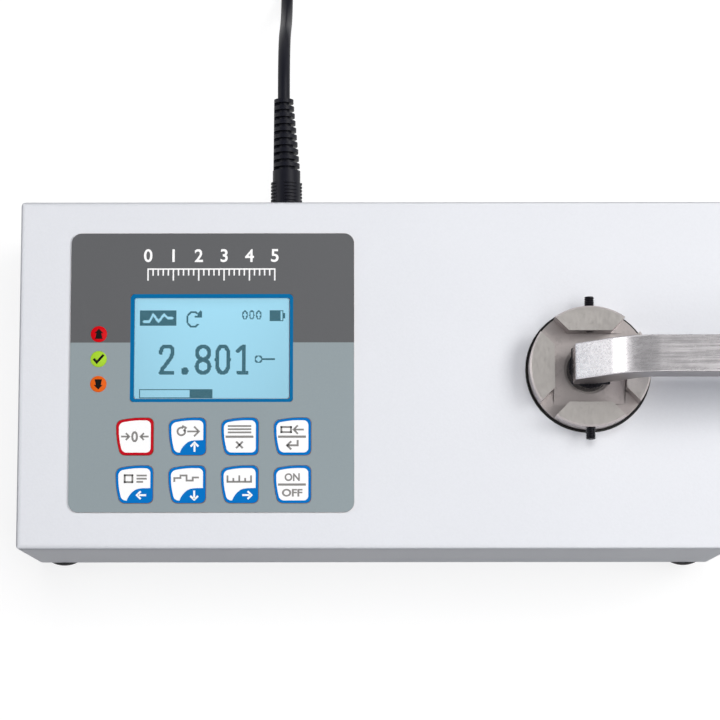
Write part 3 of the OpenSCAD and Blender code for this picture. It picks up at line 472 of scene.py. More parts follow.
class Finish(Enum):
    """Every finish on the tester."""

    WHITE_PAINT = Coat("white_powder_coat", srgb(223, 225, 230), 0.5, 0.03, 1100.0, 20.0, 0.35,
                       0.00012, specular=0.3)
    RUBBER = Coat("black_rubber", srgb(16, 16, 18), 0.62, 0.2, 1400.0, 80.0, 0.3)
    CORD = Coat("soft_black_moulding", srgb(14, 15, 25), 0.45, 0.12, 1800.0, 90.0, 0.15,
                specular=0.2)
    SOCKET = Coat("socket_moulding", srgb(22, 22, 24), 0.38, 0.15, 1300.0, 70.0, 0.15)
    BLACK_STEEL = Coat("black_oxide_steel", srgb(34, 34, 40), 0.28, 0.25, 1200.0, 150.0, 0.2,
                       metallic=0.7)
    ZINC = Metal("zinc_plate", srgb(188, 192, 198), 0.34, (300.0, 300.0, 300.0), 0.08, 0.1)
    NICKEL = Metal("milled_nickel", srgb(188, 181, 180), 0.42, (1400.0, 1400.0, 300.0), 0.05, 0.03,
                   0.25)
    JAW_TOP = Metal("ground_nickel", srgb(194, 190, 187), 0.36, (1500.0, 400.0, 300.0), 0.02, 0.02,
                    0.2)
    BRUSHED = Metal("brushed_lever", srgb(218, 215, 218), 0.27, (45.0, 1300.0, 1300.0), 0.22, 0.3,
                    0.2)
    # The lever's aluminium made darker for the arm's sides: painted shade.
    LEVER_SIDE = Metal("lever_side_painted_shade", srgb(122, 118, 122), 0.36, (50.0, 1800.0, 1800.0),
                       0.2, 0.2, 0.3)
    TURNED = Metal("turned_aluminium", srgb(200, 201, 204), 0.35, (60.0, 60.0, 5000.0), 0.1, 0.2)
    GROUND = Metal("ground_steel", srgb(205, 205, 207), 0.18, (400.0, 400.0, 4000.0), 0.05, 0.05)
    BRASS = Metal("brass", srgb(206, 175, 105), 0.3, (300.0, 300.0, 3000.0), 0.08, 0.1)
    OVERLAY = OverlayPrint("overlay_print", srgb(93, 94, 96), srgb(143, 154, 158), 12.4 * MM)
    BLUE_PRINT = Coat("blue_print", srgb(0, 112, 192), 0.45, 0.04, 1500.0, 60.0, 0.05, specular=0.1)
    BLUE_FRAME = Coat("blue_frame", srgb(0, 104, 158), 0.45, 0.04, 1500.0, 60.0, 0.05, specular=0.1)
    RED_PRINT = Coat("red_print", srgb(190, 14, 32), 0.45, 0.04, 1500.0, 60.0, 0.05, specular=0.1)
    WHITE_PRINT = Coat("white_print", srgb(250, 250, 250), 0.45, 0.015, 1500.0, 60.0, 0.05,
                       specular=0.1)
    GREY_PRINT = Coat("grey_print", srgb(138, 136, 134), 0.45, 0.04, 1500.0, 60.0, 0.05,
                      specular=0.1)
    BLACK_PRINT = Coat("black_print", srgb(20, 18, 18), 0.5, 0.1, 1500.0, 60.0, 0.05, specular=0.1)
    LAMP_RED = Coat("lamp_red", srgb(206, 0, 14), 0.35, 0.05, 1200.0, 90.0, 0.05, specular=0.15)
    LAMP_GREEN = Coat("lamp_green", srgb(164, 208, 50), 0.35, 0.05, 1200.0, 90.0, 0.05,
                      specular=0.15)
    LAMP_ORANGE = Coat("lamp_orange", srgb(224, 96, 20), 0.35, 0.05, 1200.0, 90.0, 0.05,
                       specular=0.15)
    LCD = LitPanel("lcd_glass", srgb(168, 229, 252), (-64 * MM, 10.25 * MM),
                   (30.6 * MM, 20.05 * MM))
    LCD_DOT = Coat("lcd_dot", srgb(36, 94, 108), 0.4, 0.05, 1500.0, 60.0, 0.0, specular=0.1)
    WINDOW = ClearFilm("clear_pane")
    BOARD = Coat("board_mask", srgb(20, 84, 52), 0.35, 0.1, 1200.0, 60.0, 0.1)
    CHIP = Coat("chip_epoxy", srgb(28, 28, 30), 0.5, 0.15, 2000.0, 90.0, 0.15)
    FLEX = Coat("flex_ribbon", srgb(176, 112, 44), 0.3, 0.1, 1500.0, 90.0, 0.05)
    SLEEVE = Coat("cell_wrap", srgb(34, 76, 140), 0.3, 0.08, 1500.0, 60.0, 0.05)
    TIE = Coat("tie_webbing", srgb(34, 34, 37), 0.8, 0.3, 2600.0, 300.0, 0.6, 0.0002)

    @property
    def material(self) -> bpy.types.Material:
        """The finish's material, built the first time that it is used.

        Returns:
            The material.
        """
        if self.name not in BUILT:
            BUILT[self.name] = self.value.build()
        return BUILT[self.name]


def as_piece(name: str, mesh: bpy.types.Mesh, body: str, finish: Finish | None,
             stands_for: Sequence[str] = ()) -> bpy.types.Object:
    """Put a finished mesh in the scene as a piece of the tester.

    Args:
        name: The piece's name.
        mesh: Its mesh, already in place.
        body: The body that it moves with.
        finish: Its finish, or None where its faces have theirs already.
        stands_for: The nodes of the frame that it takes the place of.

    Returns:
        The new object.
    """
    piece = bpy.data.objects.new(name, mesh)
    bpy.context.scene.collection.objects.link(piece)
    if finish is not None:
        mesh.materials.clear()
        mesh.materials.append(finish.material)
    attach(piece, body)
    if stands_for:
        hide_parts(*stands_for)
    LOG.info("piece %s: %d faces on %s", name, len(mesh.polygons), body)
    return piece


def settle(piece: bpy.types.Object) -> bpy.types.Mesh:
    """Apply an object's modifiers, remove the object and return its plain mesh.

    Args:
        piece: The object.

    Returns:
        Its mesh, in world coordinates.
    """
    evaluated = piece.evaluated_get(bpy.context.evaluated_depsgraph_get())
    mesh = bpy.data.meshes.new_from_object(evaluated)
    mesh.transform(piece.matrix_world)
    bpy.data.objects.remove(piece)
    return mesh


def smooth_by_angle(mesh: bpy.types.Mesh, degrees: float = 32) -> None:
    """Shade a mesh smooth, apart from its edges that are sharper than an angle."""
    mesh.shade_smooth()
    mesh.set_sharp_from_angle(angle=math.radians(degrees))


def from_bmesh(name: str, bm: bmesh.types.BMesh, degrees: float = 32) -> bpy.types.Mesh:
    """Turn an edit mesh into a shaded mesh and free it.

    Args:
        name: The mesh's name.
        bm: The edit mesh.
        degrees: The angle above which an edge stays sharp.

    Returns:
        The shaded mesh.
    """
    mesh = bpy.data.meshes.new(name)
    bm.to_mesh(mesh)
    bm.free()
    smooth_by_angle(mesh, degrees)
    return mesh


def joined(name: str, meshes: Iterable[bpy.types.Mesh], degrees: float = 32) -> bpy.types.Mesh:
    """Put several meshes together in one.

    Args:
        name: The new mesh's name.
        meshes: The meshes.
        degrees: The angle above which an edge stays sharp.

    Returns:
        The joined mesh.
    """
    bm = bmesh.new()
    for mesh in meshes:
        bm.from_mesh(mesh)
    return from_bmesh(name, bm, degrees)


def prism(name: str, outline: Sequence[Point], low: float, high: float) -> bpy.types.Mesh:
    """Make a closed slab from an outline without holes.

    Args:
        name: The mesh's name.
        outline: The outline's points, anticlockwise.
        low: Height of its underside.
        high: Height of its top.

    Returns:
        The slab's mesh.
    """
    bm = bmesh.new()
    bottom = [bm.verts.new((x, y, low)) for x, y in outline]
    top = [bm.verts.new((x, y, high)) for x, y in outline]
    bm.faces.new(bottom[::-1])
    bm.faces.new(top)
    for i in range(len(outline)):
        j = (i + 1) % len(outline)
        bm.faces.new((bottom[i], bottom[j], top[j], top[i]))
    bmesh.ops.recalc_face_normals(bm, faces=bm.faces)
    return from_bmesh(name, bm)


def plate_with_holes(name: str, loops: Sequence[Sequence[Point]], low: float, high: float,
                     bevel: float = 0.0) -> bpy.types.Mesh:
    """Make a closed slab from an outline and the outlines of its holes.

    Args:
        name: The mesh's name.
        loops: The outer outline first, then the holes.
        low: Height of its underside.
        high: Height of its top.
        bevel: Radius that its outer and inner edges are rounded by.

    Returns:
        The slab's mesh.
    """
    curve = bpy.data.curves.new(name, "CURVE")
    curve.dimensions, curve.fill_mode = "2D", "BOTH"
    curve.extrude = (high - low) / 2 - bevel
    curve.bevel_depth, curve.bevel_resolution, curve.offset = bevel, 2, -bevel
    for loop in loops:
        spline = curve.splines.new("POLY")
        spline.points.add(len(loop) - 1)
        for point, (x, y) in zip(spline.points, loop):
            point.co = (x, y, 0, 1)
        spline.use_cyclic_u = True
    holder = bpy.data.objects.new(name, curve)
    bpy.context.scene.collection.objects.link(holder)
    holder.location.z = (low + high) / 2
    bpy.context.view_layer.update()
    mesh = settle(holder)
    bm = bmesh.new()
    bm.from_mesh(mesh)
    bmesh.ops.remove_doubles(bm, verts=bm.verts, dist=1e-6)
    bmesh.ops.recalc_face_normals(bm, faces=bm.faces)
    return from_bmesh(name, bm)


def arc(centre: Point, radius: float, start: float, end: float, steps: int = 8) -> list[Point]:
    """Give the points along an arc, with its angles in degrees."""
    angles = [math.radians(start + (end - start) * i / steps) for i in range(steps + 1)]
    return [(centre[0] + radius * math.cos(a), centre[1] + radius * math.sin(a)) for a in angles]


def round_rect(centre: Point, width: float, height: float, radius: float) -> list[Point]:
    """Give the outline of a rectangle with round corners, anticlockwise.

    Args:
        centre: Its middle.
        width: Its width.
        height: Its height.
        radius: Radius of its corners.

    Returns:
        The outline's points.
    """
    x, y, w, h = *centre, width / 2 - radius, height / 2 - radius
    return (arc((x + w, y - h), radius, -90, 0) + arc((x + w, y + h), radius, 0, 90)
            + arc((x - w, y + h), radius, 90, 180) + arc((x - w, y - h), radius, 180, 270))


def lettering(name: str, text: str, centre: Point, height: float, low: float, high: float,
              width_share: float = 1.0, weight: float = 0.0) -> bpy.types.Mesh:
    """Make plain numbers or switch words as a thin raised print.

    Args:
        name: The mesh's name.
        text: The characters.
        centre: The middle of the text.
        height: Height of a capital letter.
        low: Height of the print's underside.
        high: Height of its top.
        width_share: How wide the characters are, as a share of their usual width.
        weight: How far the strokes are widened.

    Returns:
        The print's mesh.
    """
    cap_share = 0.729
    curve = bpy.data.curves.new(name, "FONT")
    curve.body, curve.size = text, height / cap_share
    curve.align_x, curve.align_y = "CENTER", "CENTER"
    curve.extrude, curve.offset, curve.resolution_u = (high - low) / 2, weight, 4
    holder = bpy.data.objects.new(name, curve)
    bpy.context.scene.collection.objects.link(holder)
    mesh = settle(holder)
    xs, ys = [v.co.x for v in mesh.vertices], [v.co.y for v in mesh.vertices]
    middle = Vector(((min(xs) + max(xs)) / 2, (min(ys) + max(ys)) / 2, 0))
    mesh.transform(Matrix.Translation(-middle))
    mesh.transform(Matrix.Diagonal((width_share, 1, 1, 1)))
    mesh.transform(Matrix.Translation((*centre, (low + high) / 2)))
    bm = bmesh.new()
    bm.from_mesh(mesh)
    bmesh.ops.remove_doubles(bm, verts=bm.verts, dist=1e-6)
    return from_bmesh(name, bm)


def tube_mesh(name: str, path: Sequence[Point3], radius: float, sides: int = 16) -> bpy.types.Mesh:
    """Make a closed round tube with a ring at each point of a path.

    Args:
        name: The mesh's name.
        path: The points that the tube follows.
        radius: The tube's radius.
        sides: How many sides a ring has.

    Returns:
        The tube's mesh, with a UV map that runs round and along it.
    """
    points = [Vector(p) for p in path]
    bm = bmesh.new()
    uv = bm.loops.layers.uv.new("cord")
    rings, along = [], [0.0]
    for i, point in enumerate(points):
        ahead = points[min(i + 1, len(points) - 1)] - points[max(i - 1, 0)]
        ahead.normalize()
        flat = ahead.cross(Vector((0, 1, 0) if abs(ahead.z) > 0.98 else (0, 0, 1))).normalized()
        rise = flat.cross(ahead)
        angles = [2 * math.pi * k / sides for k in range(sides)]
        rings.append([bm.verts.new(point + radius * (math.cos(a) * flat + math.sin(a) * rise))
                      for a in angles])
        if i:
            along.append(along[-1] + (point - points[i - 1]).length)
    for i in range(len(rings) - 1):
        for k in range(sides):
            n = (k + 1) % sides
            face = bm.faces.new((rings[i][k], rings[i][n], rings[i + 1][n], rings[i + 1][k]))
            shares = ((k, i), (k + 1, i), (k + 1, i + 1), (k, i + 1))
            for loop, (round_at, ring_at) in zip(face.loops, shares):
                loop[uv].uv = (round_at / sides, along[ring_at] / (2 * math.pi * radius))
    bm.faces.new(rings[0][::-1])
    bm.faces.new(rings[-1])
    bmesh.ops.recalc_face_normals(bm, faces=bm.faces)
    return from_bmesh(name, bm, 50)


def revolved(name: str, profile: Sequence[Point], centre: Point3, axis: Point3 = (0, 0, 1),
             steps: int = 96, degrees: float = 32) -> bpy.types.Mesh:
    """Turn a closed profile round an axis into a closed mesh.

    Args:
        name: The mesh's name.
        profile: Radius and height of each point, in order; the ends are joined on the axis.
        centre: Where the axis starts.
        axis: Which way the profile's height runs.
        steps: How many steps the full turn has.
        degrees: The angle above which an edge stays sharp.

    Returns:
        The revolved mesh.
    """
    bm = bmesh.new()
    rings = []
    for radius, height in profile:
        if radius < 1e-7:
            rings.append([bm.verts.new((0, 0, height))])
            continue
        rings.append([bm.verts.new((radius * math.cos(2 * math.pi * k / steps),
                                    radius * math.sin(2 * math.pi * k / steps), height))
                      for k in range(steps)])
    closed = profile[0][0] > 1e-7 and profile[-1][0] > 1e-7
    pairs = list(zip(rings, rings[1:])) + ([(rings[-1], rings[0])] if closed else [])
    for a, b in pairs:
        for k in range(steps):
            n = (k + 1) % steps
            corners = [a[k % len(a)], a[n % len(a)], b[n % len(b)], b[k % len(b)]]
            corners = list(dict.fromkeys(corners))
            if len(corners) > 2:
                bm.faces.new(corners)
    bmesh.ops.recalc_face_normals(bm, faces=bm.faces)
    mesh = from_bmesh(name, bm, degrees)
    turn = Vector((0, 0, 1)).rotation_difference(Vector(axis)).to_matrix().to_4x4()
    mesh.transform(Matrix.Translation(centre) @ turn)
    return mesh


def bevelled(mesh: bpy.types.Mesh, width: float, segments: int = 3, degrees: float = 32,
             cutters: Sequence[bpy.types.Mesh] = ()) -> bpy.types.Mesh:
    """Cut other meshes out of one and round its sharp edges.

    Args:
        mesh: The mesh.
        width: How far the rounding reaches.
        segments: How many faces the rounding has.
        degrees: The angle above which an edge is rounded.
        cutters: Closed meshes that are cut out first, in order.

    Returns:
        The finished mesh.
    """
    scene = bpy.context.scene.collection.objects
    holder = bpy.data.objects.new(mesh.name, mesh)
    scene.link(holder)
    tools = []
    for i, cutter in enumerate(cutters):
        tool = bpy.data.objects.new(f"cutter_{i}", cutter)
        scene.link(tool)
        tool.hide_render = True
        tools.append(tool)
        cut = holder.modifiers.new(f"cut_{i}", "BOOLEAN")
        cut.operation, cut.object, cut.solver = "DIFFERENCE", tool, "EXACT"
    rounding = holder.modifiers.new("rounding", "BEVEL")
    rounding.width, rounding.segments = width, segments
    rounding.limit_method, rounding.angle_limit = "ANGLE", math.radians(degrees)
    rounding.use_clamp_overlap = True
    flat = holder.modifiers.new("flat_faces", "WEIGHTED_NORMAL")
    flat.keep_sharp = True
    bpy.context.view_layer.update()
    done = settle(holder)
    for tool in tools:
        bpy.data.objects.remove(tool)
    return done


def merged_copy(node: str) -> bpy.types.Mesh:
    """Copy a frame node's mesh with its loose triangles joined and its flat faces whole.

    Args:
        node: The node's name.

    Returns:
        The copy, in world coordinates.
    """
    source = frame["nodes"][node]
    bm = bmesh.new()
    bm.from_mesh(source.data)
    bm.transform(source.matrix_world)
    bmesh.ops.remove_doubles(bm, verts=bm.verts, dist=2e-6)
    bmesh.ops.dissolve_degenerate(bm, edges=bm.edges, dist=1e-7)
    bmesh.ops.dissolve_limit(bm, angle_limit=math.radians(0.5), verts=bm.verts, edges=bm.edges)
    return from_bmesh(f"{node}_skin", bm)


@dataclass(frozen=True)
class Lamp:
    """One square soft lamp."""

    name: str
    place: Point3
    aim: Point3
    size: float
    power: float
    mirrored: bool = True


@dataclass(frozen=True)
class Studio:
    """The camera, the lamps, the world and the pale floor."""

    place: Point3 = (-5.85 * MM, -143.8 * MM, 1131.5 * MM)
    aim: Point3 = (-5.7 * MM, 5.5 * MM, 75 * MM)
    lens: float = 135.7
    floor_z: float = -12 * MM
    floor_size: float = 6.0
    floor_glow: float = 0.8
    ceiling: float = 0.42
    fill: float = 0.11
    fill_colour: Colour = (0.8, 0.9, 1.18)
    lamp_colour: Colour = (1.0, 0.985, 0.96)
    lamps: tuple[Lamp, ...] = (
        Lamp("key", (1.25, 0.35, 1.6), (0.05, 0.0, 0.05), 0.9, 18),
        Lamp("front", (0.95, -0.6, 1.6), (0.0, 0.0, 0.05), 0.9, 8),
        Lamp("side", (-1.45, 0.2, 0.55), (0.08, 0.0, 0.1), 0.6, 2.7),
        Lamp("overhead", (0.05, 0.3, 1.9), (0.05, 0.0, 0.05), 0.8, 17, mirrored=False))

    def add_camera(self) -> None:
        """Stand the camera where the photograph was taken from."""
        data = bpy.data.cameras.new("camera")
        data.lens, data.sensor_width = self.lens, 36
        data.clip_start, data.clip_end = 0.05, 50
        camera = bpy.data.objects.new("camera", data)
        bpy.context.scene.collection.objects.link(camera)
        camera.location = self.place
        towards = Vector(self.aim) - Vector(self.place)
        camera.rotation_mode = "QUATERNION"
        camera.rotation_quaternion = towards.to_track_quat("-Z", "Y")
        bpy.context.scene.camera = camera

    def add_lamp(self, lamp: Lamp) -> None:
        """Hang one lamp.

        Args:
            lamp: The lamp; where it isn't mirrored, polished metal doesn't show it.
        """
        data = bpy.data.lights.new(lamp.name, "AREA")
        data.shape, data.size, data.energy = "SQUARE", lamp.size, lamp.power
        data.color = self.lamp_colour
        light = bpy.data.objects.new(lamp.name, data)
        bpy.context.scene.collection.objects.link(light)
        light.location = lamp.place
        light.rotation_mode = "QUATERNION"
        towards = Vector(lamp.aim) - Vector(lamp.place)
        light.rotation_quaternion = towards.to_track_quat("-Z", "Y")
        light.visible_glossy = lamp.mirrored

    def add_world(self) -> None:
        """Light the scene evenly, and show a white room with a grey ceiling."""
        world = bpy.data.worlds.new("studio")
        world.use_nodes = True
        t = Tree(world.node_tree)
        world.node_tree.nodes.clear()
        rays = t.add("ShaderNodeLightPath")
        seen = t.math("MAXIMUM", rays.outputs["Is Camera Ray"],
                      t.math("MAXIMUM", rays.outputs["Is Transmission Ray"],
                             rays.outputs["Is Glossy Ray"]))
        way = t.add("ShaderNodeSeparateXYZ", {0: t.add("ShaderNodeTexCoord").outputs["Generated"]})
        room = t.add("ShaderNodeMapRange", {"Value": way.outputs[2], "From Min": 0.5,
                                            "From Max": 0.72, "To Min": 1.0, "To Max": self.ceiling})
        fill = t.add("ShaderNodeBackground", {"Color": self.fill_colour, "Strength": self.fill})
        plain = t.add("ShaderNodeBackground", {"Color": (1.0, 1.0, 1.0),
                                               "Strength": room.outputs[0]})
        both = t.add("ShaderNodeMixShader", {0: seen, 1: fill.outputs[0], 2: plain.outputs[0]})
        t.add("ShaderNodeOutputWorld", {0: both.outputs[0]})
        bpy.context.scene.world = world

    def add_floor(self) -> None:
        """Lay a white floor that keeps the tester's shadow."""
        half = self.floor_size / 2
        mesh = bpy.data.meshes.new("floor")
        corners = [(-half, -half), (half, -half), (half, half), (-half, half)]
        mesh.from_pydata([(x, y, self.floor_z) for x, y in corners], [], [(0, 1, 2, 3)])
        floor = bpy.data.objects.new("floor", mesh)
        bpy.context.scene.collection.objects.link(floor)
        material, t, shader = start_material("floor_white", Base_Color=(0.25, 0.25, 0.25),
                                             Roughness=0.9, Specular_IOR_Level=0.1)
        rays = t.add("ShaderNodeLightPath")
        seen = t.math("MAXIMUM", rays.outputs["Is Camera Ray"], rays.outputs["Is Glossy Ray"])
        light = t.add("ShaderNodeEmission", {"Color": (1.0, 1.0, 1.0),
                                             "Strength": t.math("MULTIPLY", seen, self.floor_glow)})
        both = t.add("ShaderNodeAddShader", {0: shader.outputs[0], 1: light.outputs[0]})
        output = material.node_tree.nodes["Material Output"]
        t.link(both.outputs[0], output.inputs[0])
        mesh.materials.append(material)

    def build(self) -> None:
        """Set up everything that isn't the tester."""
        bpy.context.scene.view_settings.view_transform = "Standard"
        self.add_camera()
        self.add_world()
        self.add_floor()
        for lamp in self.lamps:
            self.add_lamp(lamp)


@dataclass(frozen=True)
class DataLead:
    """The round data plug, its strain relief, the lead, its coil and the far plug."""

    diameter: float = 5 * MM
    lead_route: tuple[Point3, ...] = (
        (-37, 119, 38), (-37, 124, 38), (-37, 130, 37.5), (-37, 137, 35.5), (-37, 143, 32),
        (-37, 148, 27), (-37, 152, 21), (-37, 155.5, 14.5), (-37, 159, 8), (-37, 163, 2),
        (-37, 168, -3.5), (-37, 174, -7.5), (-37, 182, -9.3), (-37, 191, -9.5), (-37, 200, -9.4),
        (-37, 209, -8.9), (-37, 213, -8.6), (-37, 217, -8.6))
    tail_route: tuple[Point3, ...] = (
        (-39.8, 227, -3.1), (-40, 232, -3.1), (-39.5, 239, -3.8), (-37.5, 246, -5.5),
        (-34, 252.5, -7.5), (-29, 258, -9), (-22.5, 262.5, -9.5), (-15, 265.5, -9.5),
        (-8, 267, -9.2), (-2, 267.5, -8.5), (3, 267.5, -8.5), (8, 267.5, -8.5))
    coil_centre: Point3 = (0.0, 222 * MM, -8.6 * MM)
    coil_turns: float = 3
    coil_inner: float = 20.2 * MM
    coil_pitch: float = 5.6 * MM
    layer_pitch: float = 5.5 * MM
    rings_per_turn: int = 48
    far_grip: float = 27 * MM

    def coil_point(self, turn: float) -> Point3:
        """Give the lead's middle at a number of turns into the coil.

        Args:
            turn: Turns from where the coil starts.

        Returns:
            The point.
        """
        out = turn - self.coil_turns - 0.5 if turn > self.coil_turns + 0.25 else self.coil_turns - turn
        radius = self.coil_inner + self.coil_pitch * out
        angle = 2 * math.pi * turn
        climb = min(1.0, max(0.0, 2 * (turn - self.coil_turns)))
        x, y, z = self.coil_centre
        return (x - radius * math.cos(angle), y + radius * math.sin(angle),
                z + self.layer_pitch * climb)

    def smooth_route(self, points: Sequence[Point3], steps: int = 4) -> list[Point3]:
        """Give a curve through the given points, with a few steps between each pair.

        Args:
            points: The points, in millimetres.
            steps: Steps between two points.

        Returns:
            The points of the curve, in metres.
        """
        places = [Vector(p) * MM for p in points]
        ends = [places[0] * 2 - places[1], *places, places[-1] * 2 - places[-2]]
        line: list[Point3] = []
        for a, b, c, d in zip(ends, ends[1:], ends[2:], ends[3:]):
            for i in range(steps):
                t = i / steps
                line.append(tuple(0.5 * (2 * b + (c - a) * t + (2 * a - 5 * b + 4 * c - d) * t ** 2
                                         + (3 * b - a - 3 * c + d) * t ** 3)))
        return [*line, tuple(places[-1])]

    def whole_path(self) -> list[Point3]:
        """Give the lead's middle from the strain relief to the far plug.

        Returns:
            The points in order.
        """
        lead = self.smooth_route(self.lead_route)
        turns = 2 * self.coil_turns + 1
        count = round(turns * self.rings_per_turn)
        coil = [self.coil_point(turns * i / count) for i in range(count + 1)]
        return lead + coil + self.smooth_route(self.tail_route)

    def length(self, path: Sequence[Point3]) -> float:
        """Measure a path."""
        return sum((Vector(b) - Vector(a)).length for a, b in zip(path, path[1:]))

    def build_plug(self) -> list[bpy.types.Object]:
        """Make the moulded round plug with its grip ribs, and the strain relief.

        Returns:
            Both pieces.
        """
        plug = as_piece("plug_skin", bevelled(merged_copy("plug_body"), 0.25 * MM, 2), "root",
                        Finish.CORD, ["plug_body"])
        relief = as_piece("strain_relief_skin", bevelled(merged_copy("strain_relief"), 0.2 * MM, 2),
                          "root", Finish.CORD, ["strain_relief"])
        return [plug, relief]

    def build_far_end(self) -> list[bpy.types.Object]:
        """Dress the tie and the far plug with its metal shell.

        Returns:
            Both pieces.
        """
        tie = as_piece("tie_skin", bevelled(merged_copy("coil_tie"), 0.15 * MM, 2), "root",
                       Finish.TIE, ["coil_tie"])
        mesh = bevelled(merged_copy("usb_plug"), 0.3 * MM, 2, 50)
        mesh.materials.append(Finish.CORD.material)
        mesh.materials.append(Finish.GROUND.material)
        shell_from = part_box("usb_plug")[0][0] + self.far_grip
        for polygon in mesh.polygons:
            polygon.material_index = int(polygon.center.x > shell_from + 0.05 * MM)
        far = as_piece("far_plug_skin", mesh, "root", None, ["usb_plug"])
        return [tie, far]

    def build(self) -> None:
        path = self.whole_path()
        mesh = tube_mesh("data_lead", path, self.diameter / 2, 20)
        lead = as_piece("data_lead", mesh, "root", Finish.CORD,
                        ["cord_lead", "cord_coil"])
        pieces = self.build_plug() + self.build_far_end()


def combined(name: str, parts: Sequence[tuple[bpy.types.Mesh, Finish]]) -> bpy.types.Mesh:
    """Put meshes of different finishes together in one mesh.

    Args:
        name: The new mesh's name.
        parts: Each mesh with its finish.

    Returns:
        The mesh, with one material for each finish.
    """
    bm = bmesh.new()
    finishes = list(dict.fromkeys(finish for _, finish in parts))
    for mesh, finish in parts:
        before = len(bm.faces)
        bm.from_mesh(mesh)
        bm.faces.ensure_lookup_table()
        for face in bm.faces[before:]:
            face.material_index = finishes.index(finish)
    whole = bpy.data.meshes.new(name)
    bm.to_mesh(whole)
    bm.free()
    for finish in finishes:
        whole.materials.append(finish.material)
    return whole


def rounded(corners: Sequence[Point], radii: Sequence[float], steps: int = 8) -> list[list[Point]]:
    """Round a polygon's corners.

    Args:
        corners: The corners, anticlockwise.
        radii: The radius at each corner.
        steps: How many steps each rounding has.

    Returns:
        The points of each corner's arc.
    """
    arcs = []
    for i, (corner, radius) in enumerate(zip(corners, radii)):
        here = Vector(corner)
        back = (Vector(corners[i - 1]) - here).normalized()
        on = (Vector(corners[(i + 1) % len(corners)]) - here).normalized()
        half = back.angle(on) / 2
        start, end = here + back * radius / math.tan(half), here + on * radius / math.tan(half)
        centre = here + (back + on).normalized() * radius / math.sin(half)
        first = math.atan2(*(start - centre).yx)
        turn = (math.atan2(*(end - centre).yx) - first + math.pi) % (2 * math.pi) - math.pi
        angles = [first + turn * k / steps for k in range(steps + 1)]
        arcs.append([(centre.x + radius * math.cos(a), centre.y + radius * math.sin(a))
                     for a in angles])
    return arcs


def moved(line: Sequence[Point], by: Point) -> list[Point]:
    """Move a line of points."""
    return [(x + by[0], y + by[1]) for x, y in line]


def stroke(line: Sequence[Point], width: float, low: float, high: float) -> bpy.types.Mesh:
    """Make an open line of even width as a thin slab with sharp corners.

    Args:
        line: The points along its middle.
        width: Its width.
        low: Height of its underside.
        high: Height of its top.

    Returns:
        The slab's mesh.
    """
    points = [Vector(p) for p in line]
    ways = [(b - a).normalized() for a, b in zip(points, points[1:])]
    left, right = [], []
    for i, point in enumerate(points):
        before, after = ways[max(0, i - 1)], ways[min(i, len(ways) - 1)]
        way = (before + after).normalized()
        side = Vector((-way.y, way.x)) * width / 2 / max(0.35, way.dot(after))
        left.append(tuple(point + side))
        right.append(tuple(point - side))
    return prism("stroke", right + left[::-1], low, high)


def arrow_print(centre: Point, size: float, degrees: float, weight: float, low: float,
                high: float) -> list[bpy.types.Mesh]:
    """Make a plain arrow as a shaft and a bent head.

    Args:
        centre: The arrow's middle.
        size: Its length.
        degrees: Which way it points, anticlockwise from +X.
        weight: Width of its strokes.
        low: Height of its underside.
        high: Height of its top.

    Returns:
        The meshes of its shaft and head.
    """
    turn = Matrix.Rotation(math.radians(degrees), 2)
    tip, reach = size / 2, size * 0.42

    def placed(line: Sequence[Point]) -> list[Point]:
        """Turn a line and move it to the arrow's middle."""
        return [tuple(turn @ Vector(p) + Vector(centre)) for p in line]

    head = placed([(tip - reach, reach), (tip, 0), (tip - reach, -reach)])
    shaft = placed([(-tip, 0), (tip - weight * 0.6, 0)])
    return [stroke(head, weight, low, high), stroke(shaft, weight, low, high)]


@dataclass(frozen=True)
class Case:
    """The white folded cover with its base plate and feet."""

    def build(self) -> None:
        """Dress the cover and the feet."""
        as_piece("cover_skin", merged_copy("top_cover"), "root", Finish.WHITE_PAINT,
                 ["top_cover"])
        for corner in ("front_left", "front_right", "rear_left", "rear_right"):
            node = f"foot_{corner}"
            as_piece(f"{node}_skin", bevelled(merged_copy(node), 0.9 * MM, 3), "root",
                     Finish.RUBBER, [node])


@dataclass(frozen=True)
class Header:
    """The white scale printed on the upper part of the overlay."""

    centre: Point = (-64.3 * MM, 42.9 * MM)
    width: float = 50 * MM
    numbers: int = 6
    parts: int = 5
    line: float = 0.55 * MM
    base_drop: float = 1.2 * MM
    long_tick: float = 4.6 * MM
    short_tick: float = 2.6 * MM
    number_rise: float = 4.2 * MM
    number_height: float = 5.2 * MM
    number_weight: float = 0.12 * MM
    low: float = 75.8 * MM
    high: float = 75.82 * MM

    def build(self) -> None:
        """Print a base line, its ticks and their numbers."""
        x, y = self.centre
        left = x - self.width / 2
        base_y = y - self.base_drop
        marks = [stroke([(left - self.line / 2, base_y), (left + self.width + self.line / 2, base_y)],
                        self.line, self.low, self.high)]
        steps = (self.numbers - 1) * self.parts
        for i in range(steps + 1):
            at = left + self.width * i / steps
            tall = self.long_tick if i % self.parts == 0 else self.short_tick
            marks.append(stroke([(at, base_y - self.line / 2), (at, base_y - tall)], self.line,
                                self.low, self.high))
        for i in range(self.numbers):
            at = left + self.width * i / (self.numbers - 1)
            marks.append(lettering("scale_number", str(i), (at, y + self.number_rise),
                                   self.number_height, self.low, self.high, 1.0,
                                   self.number_weight))
        mesh = joined("scale_print", marks)
        as_piece("scale_print", mesh, "root", Finish.WHITE_PRINT)


@dataclass(frozen=True)
class Panel:
    """The printed overlay film round the display and the keys."""

    def build(self) -> None:
        """Dress the film and print its scale."""
        as_piece("overlay_skin", merged_copy("panel_overlay"), "root", Finish.OVERLAY,
                 ["panel_overlay"])
        Header().build()


